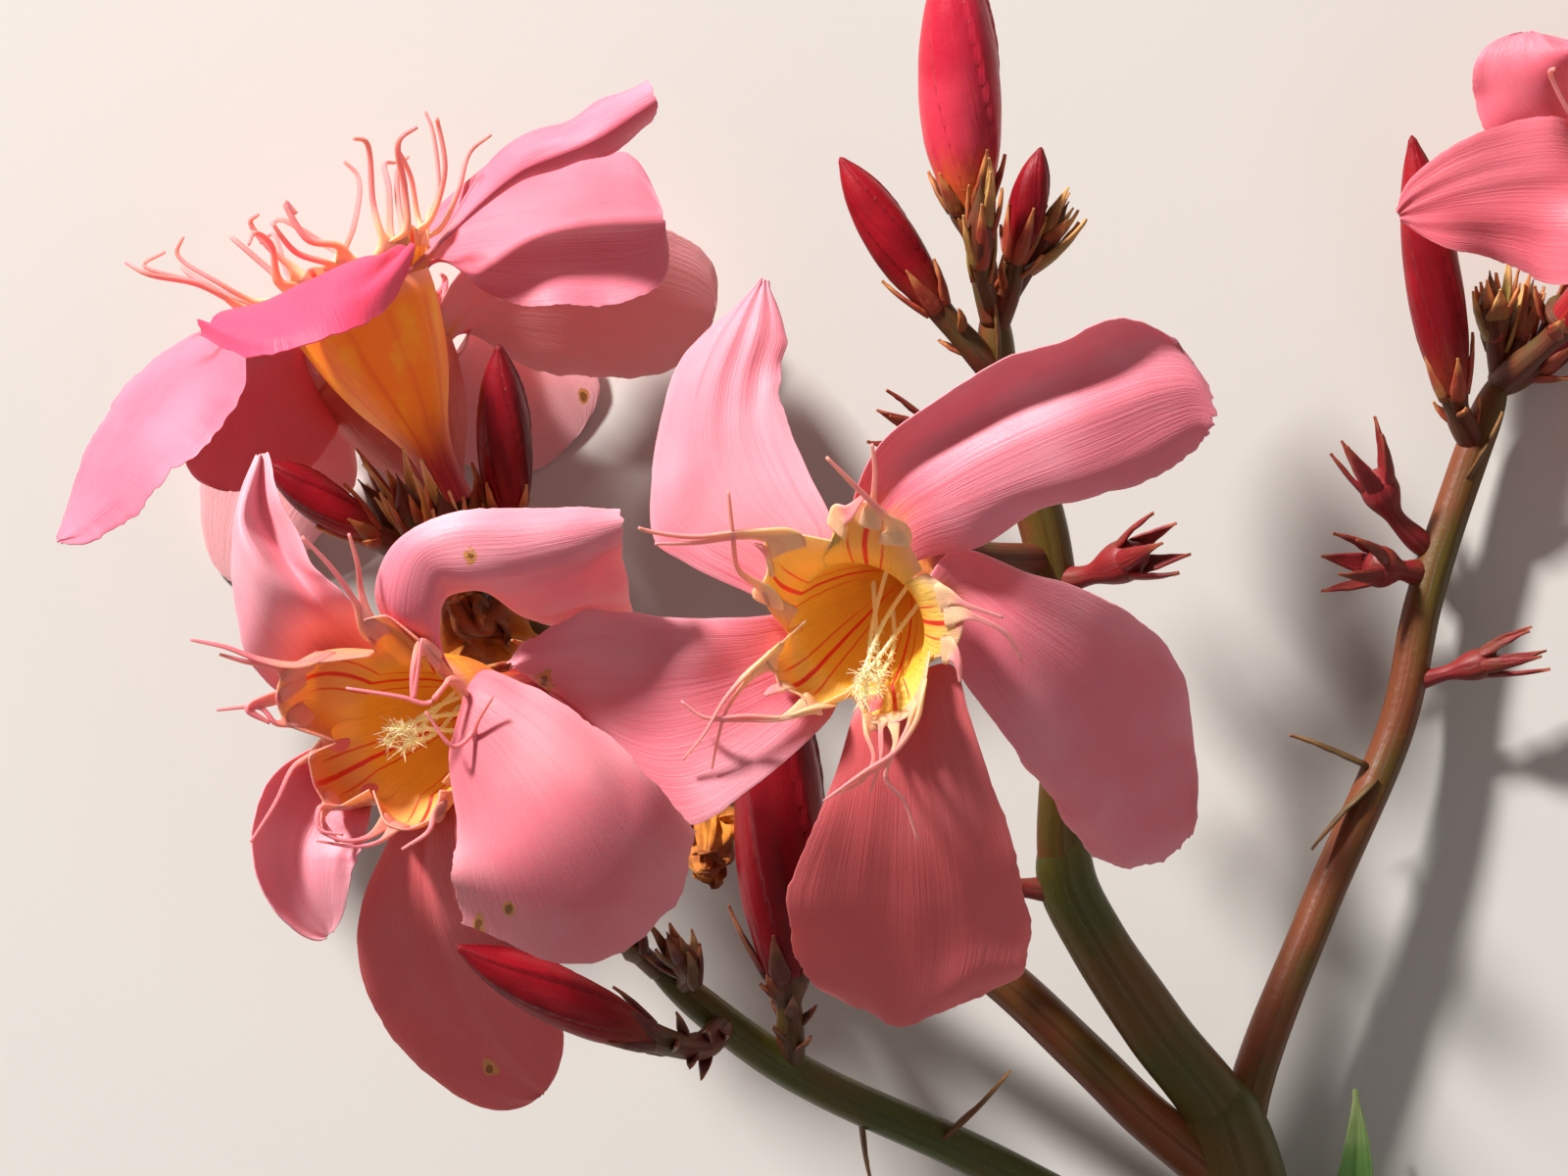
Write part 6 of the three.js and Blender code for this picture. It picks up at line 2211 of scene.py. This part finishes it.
SPENT_CALYXES = (
    SpentCalyx("spent_right_1", ((42.4, -6.5, 4.7), (45, -5.8, 5.2), (48.6, -4.8, 6)), 1.1, 3.2, 1),
    SpentCalyx("spent_right_2", ((43.4, 1, 4), (42, 1.2, 5.6), (39.7, 1.6, 7)), 1.5, 3, 2),
    SpentCalyx("spent_right_3", ((43.8, 2.6, 4), (41.6, 4.8, 5.6), (40, 7.8, 6.6)), 1.4, 3, 3),
    SpentCalyx("spent_middle", ((18.4, 0.4, 20), (20.8, 0.9, 22), (24.4, 2.4, 24.5)), 1.5, 2.8, 4),
    SpentCalyx("spent_top", ((16.4, 8.4, 21.2), (12, 9.4, 22.4), (8.6, 10.6, 24)), 1.3, 2.6, 5),
    SpentCalyx("spent_low", ((19, -20.6, 15.4), (16, -20.4, 15.8), (13.4, -20.6, 17)), 1.4, 2.6, 6),
)
DRIED = (
    DriedFlower(
        "dried_left", ((-16, -3.9, 15.6), (-18.6, -3.4, 19), (-21.8, -2.6, 23), (-23, 0.2, 26)),
        (0.7, 1.2, 2.4, 2.3, 1.5, 0.5), 1,
    ),
    DriedFlower(
        "dried_low", ((-5.6, -11.5, 14), (-5.6, -14, 19), (-5.2, -16.6, 24), (-5.4, -19.4, 28)),
        (0.7, 0.9, 1.7, 2, 1.6, 0.5), 2,
    ),
)


# Stems and leaf


@dataclass(frozen=True)
class Stem:
    """One stem: the places it passes through, its radii at even steps, and its bracts."""

    name: str
    way: tuple[Spot, ...]
    radii: tuple[float, ...]
    bracts: tuple[tuple[Spot, Spot], ...] = ()
    cut: bool = False
    finish: SkinFinish = BARK_GREEN
    seed: int = 1

    ROWS_A_MILLIMETRE = 1.6
    COLUMNS = 32
    BLUR = 9
    TAPER_LENGTH = 5.5
    PAST_CUT = 9.0

    def add_to(self, shell: Shell) -> None:
        """Adds the stem and its bracts to a shell.

        The radius is read between its steps by a smooth curve, with five faint ridges and a
        slight unevenness. Its ends taper, apart from the one that is cut.

        Args:
            shell: What it becomes part of.
        """
        path = Path(np.array([seen(spot) for spot in self.way]))
        share = np.linspace(0, 1, int(path.length * self.ROWS_A_MILLIMETRE))
        radius = eased(profile(self.radii, share), np.hanning(self.BLUR))
        angle = corners_round(self.COLUMNS)
        millimetres = share[:, None] * path.length
        uneven = ripple(angle / math.pi, millimetres / 9, self.seed)
        relief = 1 + 0.008 * np.cos(5 * angle + 0.1 * millimetres) + 0.022 * uneven
        from_end = np.minimum(millimetres + self.PAST_CUT * self.cut, path.length - millimetres)
        relief = relief * np.sqrt(1 - 0.85 * (1 - np.clip(from_end / self.TAPER_LENGTH, 0, 1)) ** 2)
        radius = radius[:, None] * relief
        shell.limb(path, share, radius, self.COLUMNS, along=0.02 * millimetres, part=self.seed)
        for index, (root, tip) in enumerate(self.bracts):
            start, end = seen(root), seen(tip)
            away = unit(np.cross(end - start, np.array([0.0, 0.0, 1.0])))
            sepal(shell, start, end, away, 0.75, 1, 0.2 * index, 0.08, seed=index)


@dataclass(frozen=True)
class Stems:
    """All stems of the spray."""

    stems: tuple[Stem, ...]

    def build(self, shop: Workshop) -> None:
        """Makes each stem a piece.

        Args:
            shop: Makes the pieces.
        """
        for stem in self.stems:
            shell = Shell()
            stem.add_to(shell)
            shop.piece(f"{stem.name}_bark", shell, [stem.finish, BRACT], Slot.BARK, stem.name)


STEMS = Stems((
    Stem(
        "main_stem", (CUT_END, (33, -47, 4.6), (30.4, -37.4, 7.4), (28.8, -33.4, 8.8)),
        (3.4, 3.2, 3, 2.6), cut=True, seed=1,
    ),
    Stem(
        "stem_middle_lower",
        ((31.6, -42.5, 6.4), (29.8, -36, 8), (25.3, -30, 11), (21.3, -24, 14), (19.3, -20, 15.4),
         (19, -15.6, 16.4)),
        (2.5, 2.5, 2.3, 2.2, 2.1, 1.8), seed=2,
    ),
    Stem(
        "stem_middle_upper",
        ((20.6, -23, 14.6), (19, -19, 15.7), (19, -8, 18), (17.9, 3, 20.5), (14.8, 13.5, 22),
         (14.2, 19.4, 23)),
        (1.8, 1.8, 1.55, 1.6, 1.75, 1.35, 1.3), (((14.7, 15, 23), (14.2, 20, 25)),), finish=BARK, seed=3,
    ),
    Stem(
        "stem_right",
        ((31.4, -41.5, 6.2), (31.4, -35.4, 7.2), (36.3, -22, 6.5), (41.7, -9.3, 5), (43.5, -1, 4.2),
         (46.2, 7.5, 3.6), (48.7, 14.3, 3)),
        (1.6, 1.6, 1.4, 1.35, 1.4, 1.3, 1.3),
        (
            ((39.6, -12, 6), (34.4, -10, 8)),
            ((40.2, -13, 6.5), (35.9, -17.8, 8.5)),
            ((46.6, 7.5, 4.4), (48.9, 12, 6.5)),
        ),
        finish=BARK, seed=4,
    ),
    Stem(
        "stem_left",
        ((33, -48, 4.8), (30.6, -41.4, 6.4), (24, -35.3, 8.5), (15, -26.7, 11), (1.3, -16.5, 13),
         (-13.3, -6, 15), (-22, 0.8, 18)),
        (1.9, 1.9, 1.7, 1.6, 1.5, 1.4), finish=BARK, seed=5,
    ),
    Stem(
        "stem_low",
        ((34.6, -52.6, 4.4), (31, -47.8, 5.8), (22, -43.3, 10), (12.7, -38.5, 15), (0, -32.5, 22),
         (-9, -25.7, 28)),
        (1.8, 1.8, 1.6, 1.5, 1.4, 1.2),
        (((5.1, -35, 19), (5.9, -40.3, 18)), ((10.8, -37.6, 17), (15.4, -32.8, 20))), seed=6,
    ),
))


@dataclass(frozen=True)
class Leaf:
    """The one leaf: a narrow blade with a sunk midrib."""

    root: Spot = (35.8, -54, 5.4)
    bend: Spot = (39.4, -42, 5.8)
    tip: Spot = (38.9, -34.1, 4.6)
    face: Spot = (0.1, 0, 1)

    ROWS = 40
    CELLS = 20

    def build(self, shop: Workshop) -> None:
        """Makes the leaf.

        Args:
            shop: Makes the piece.
        """
        shell = Shell()
        root, bend, face = seen(self.root), seen(self.bend), unit(np.array(self.face, float))
        Sheet(
            root=root, lead=unit(bend - root), bend=bend, tip=seen(self.tip), centre=root + face, face=face,
            wide=(2.4, 2.4), curl=(0.3, 0.3), peak=(0.35, 0.35), blunt=1.25, root_width=0.35, root_curl=0.3,
            thickness=0.45, ruffle=0.15, groove=0.3, seed=3,
        ).add_to(shell, self.ROWS, self.CELLS)
        shop.piece("leaf_low_blade", shell, [LEAF_SKIN], Slot.LEAF, "leaf_low")


# Studio


@dataclass(frozen=True)
class Lamp:
    """A square area lamp that looks at the spray."""

    name: str
    place: Spot
    size: float
    watts: float
    tint: Colour = (1.0, 1.0, 1.0)

    def build(self) -> None:
        """Hangs the lamp."""
        data = bpy.data.lights.new(self.name, "AREA")
        data.size = self.size
        data.energy = self.watts
        data.color = self.tint
        lamp = bpy.data.objects.new(self.name, data)
        bpy.context.scene.collection.objects.link(lamp)
        place = np.array(self.place)
        lamp.location = place
        back = unit(place)
        flat = math.hypot(back[0], back[1])
        lamp.rotation_euler = (math.atan2(flat, back[2]), 0.0, math.atan2(back[0], -back[1]))


@dataclass(frozen=True)
class Studio:
    """The pale floor, the soft lights and the camera over the spray."""

    lens: float = 200.0
    sensor: float = 36.0
    floor_side: float = 4.0
    sky: Colour = (0.98, 0.93, 0.9)
    sky_strength: float = 0.2
    lamps: tuple[Lamp, ...] = (
        Lamp("key_lamp", (-0.66, 0.86, 0.64), 0.14, 32.0, (1.0, 0.96, 0.93)),
        Lamp("fill_lamp", (0.5, -0.6, 1.0), 0.9, 1.3, (1.0, 0.98, 0.96)),
    )

    def build(self) -> None:
        """Sets the floor, lights, sky and camera."""
        bpy.context.scene.view_settings.view_transform = "Standard"
        for lamp in self.lamps:
            lamp.build()
        half = self.floor_side / 2
        mesh = bpy.data.meshes.new("floor")
        corners = [(-half, -half, 0), (half, -half, 0), (half, half, 0), (-half, half, 0)]
        mesh.from_pydata(corners, [], [(0, 1, 2, 3)])
        mesh.materials.append(FloorFinish().build())
        floor = bpy.data.objects.new("floor", mesh)
        bpy.context.scene.collection.objects.link(floor)
        world = bpy.data.worlds.new("sky")
        world.use_nodes = True
        background = world.node_tree.nodes["Background"]
        background.inputs["Color"].default_value = (*self.sky, 1.0)
        background.inputs["Strength"].default_value = self.sky_strength
        bpy.context.scene.world = world
        data = bpy.data.cameras.new("camera")
        data.sensor_width = self.sensor
        data.lens = self.lens
        data.clip_start = 0.01
        camera = bpy.data.objects.new("camera", data)
        bpy.context.scene.collection.objects.link(camera)
        camera.location = (PLAN_SHIFT + np.array([0.0, 0.0, EYE_HEIGHT])) * MILLIMETRE
        bpy.context.scene.camera = camera


def main() -> None:
    """Builds the studio and every piece, in order."""
    logging.basicConfig(level=logging.INFO, format="%(name)s %(message)s")
    Studio().build()
    shop = Workshop()
    STEMS.build(shop)
    for group in (BLOOMS.values(), STALKS, BUDS, YOUNG_BUDS, SPENT_CALYXES, DRIED, (Leaf(),)):
        for thing in group:
            thing.build(shop)
    LOG.info("%d pieces", shop.made)
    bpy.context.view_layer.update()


if __name__ == "__main__":
    main()
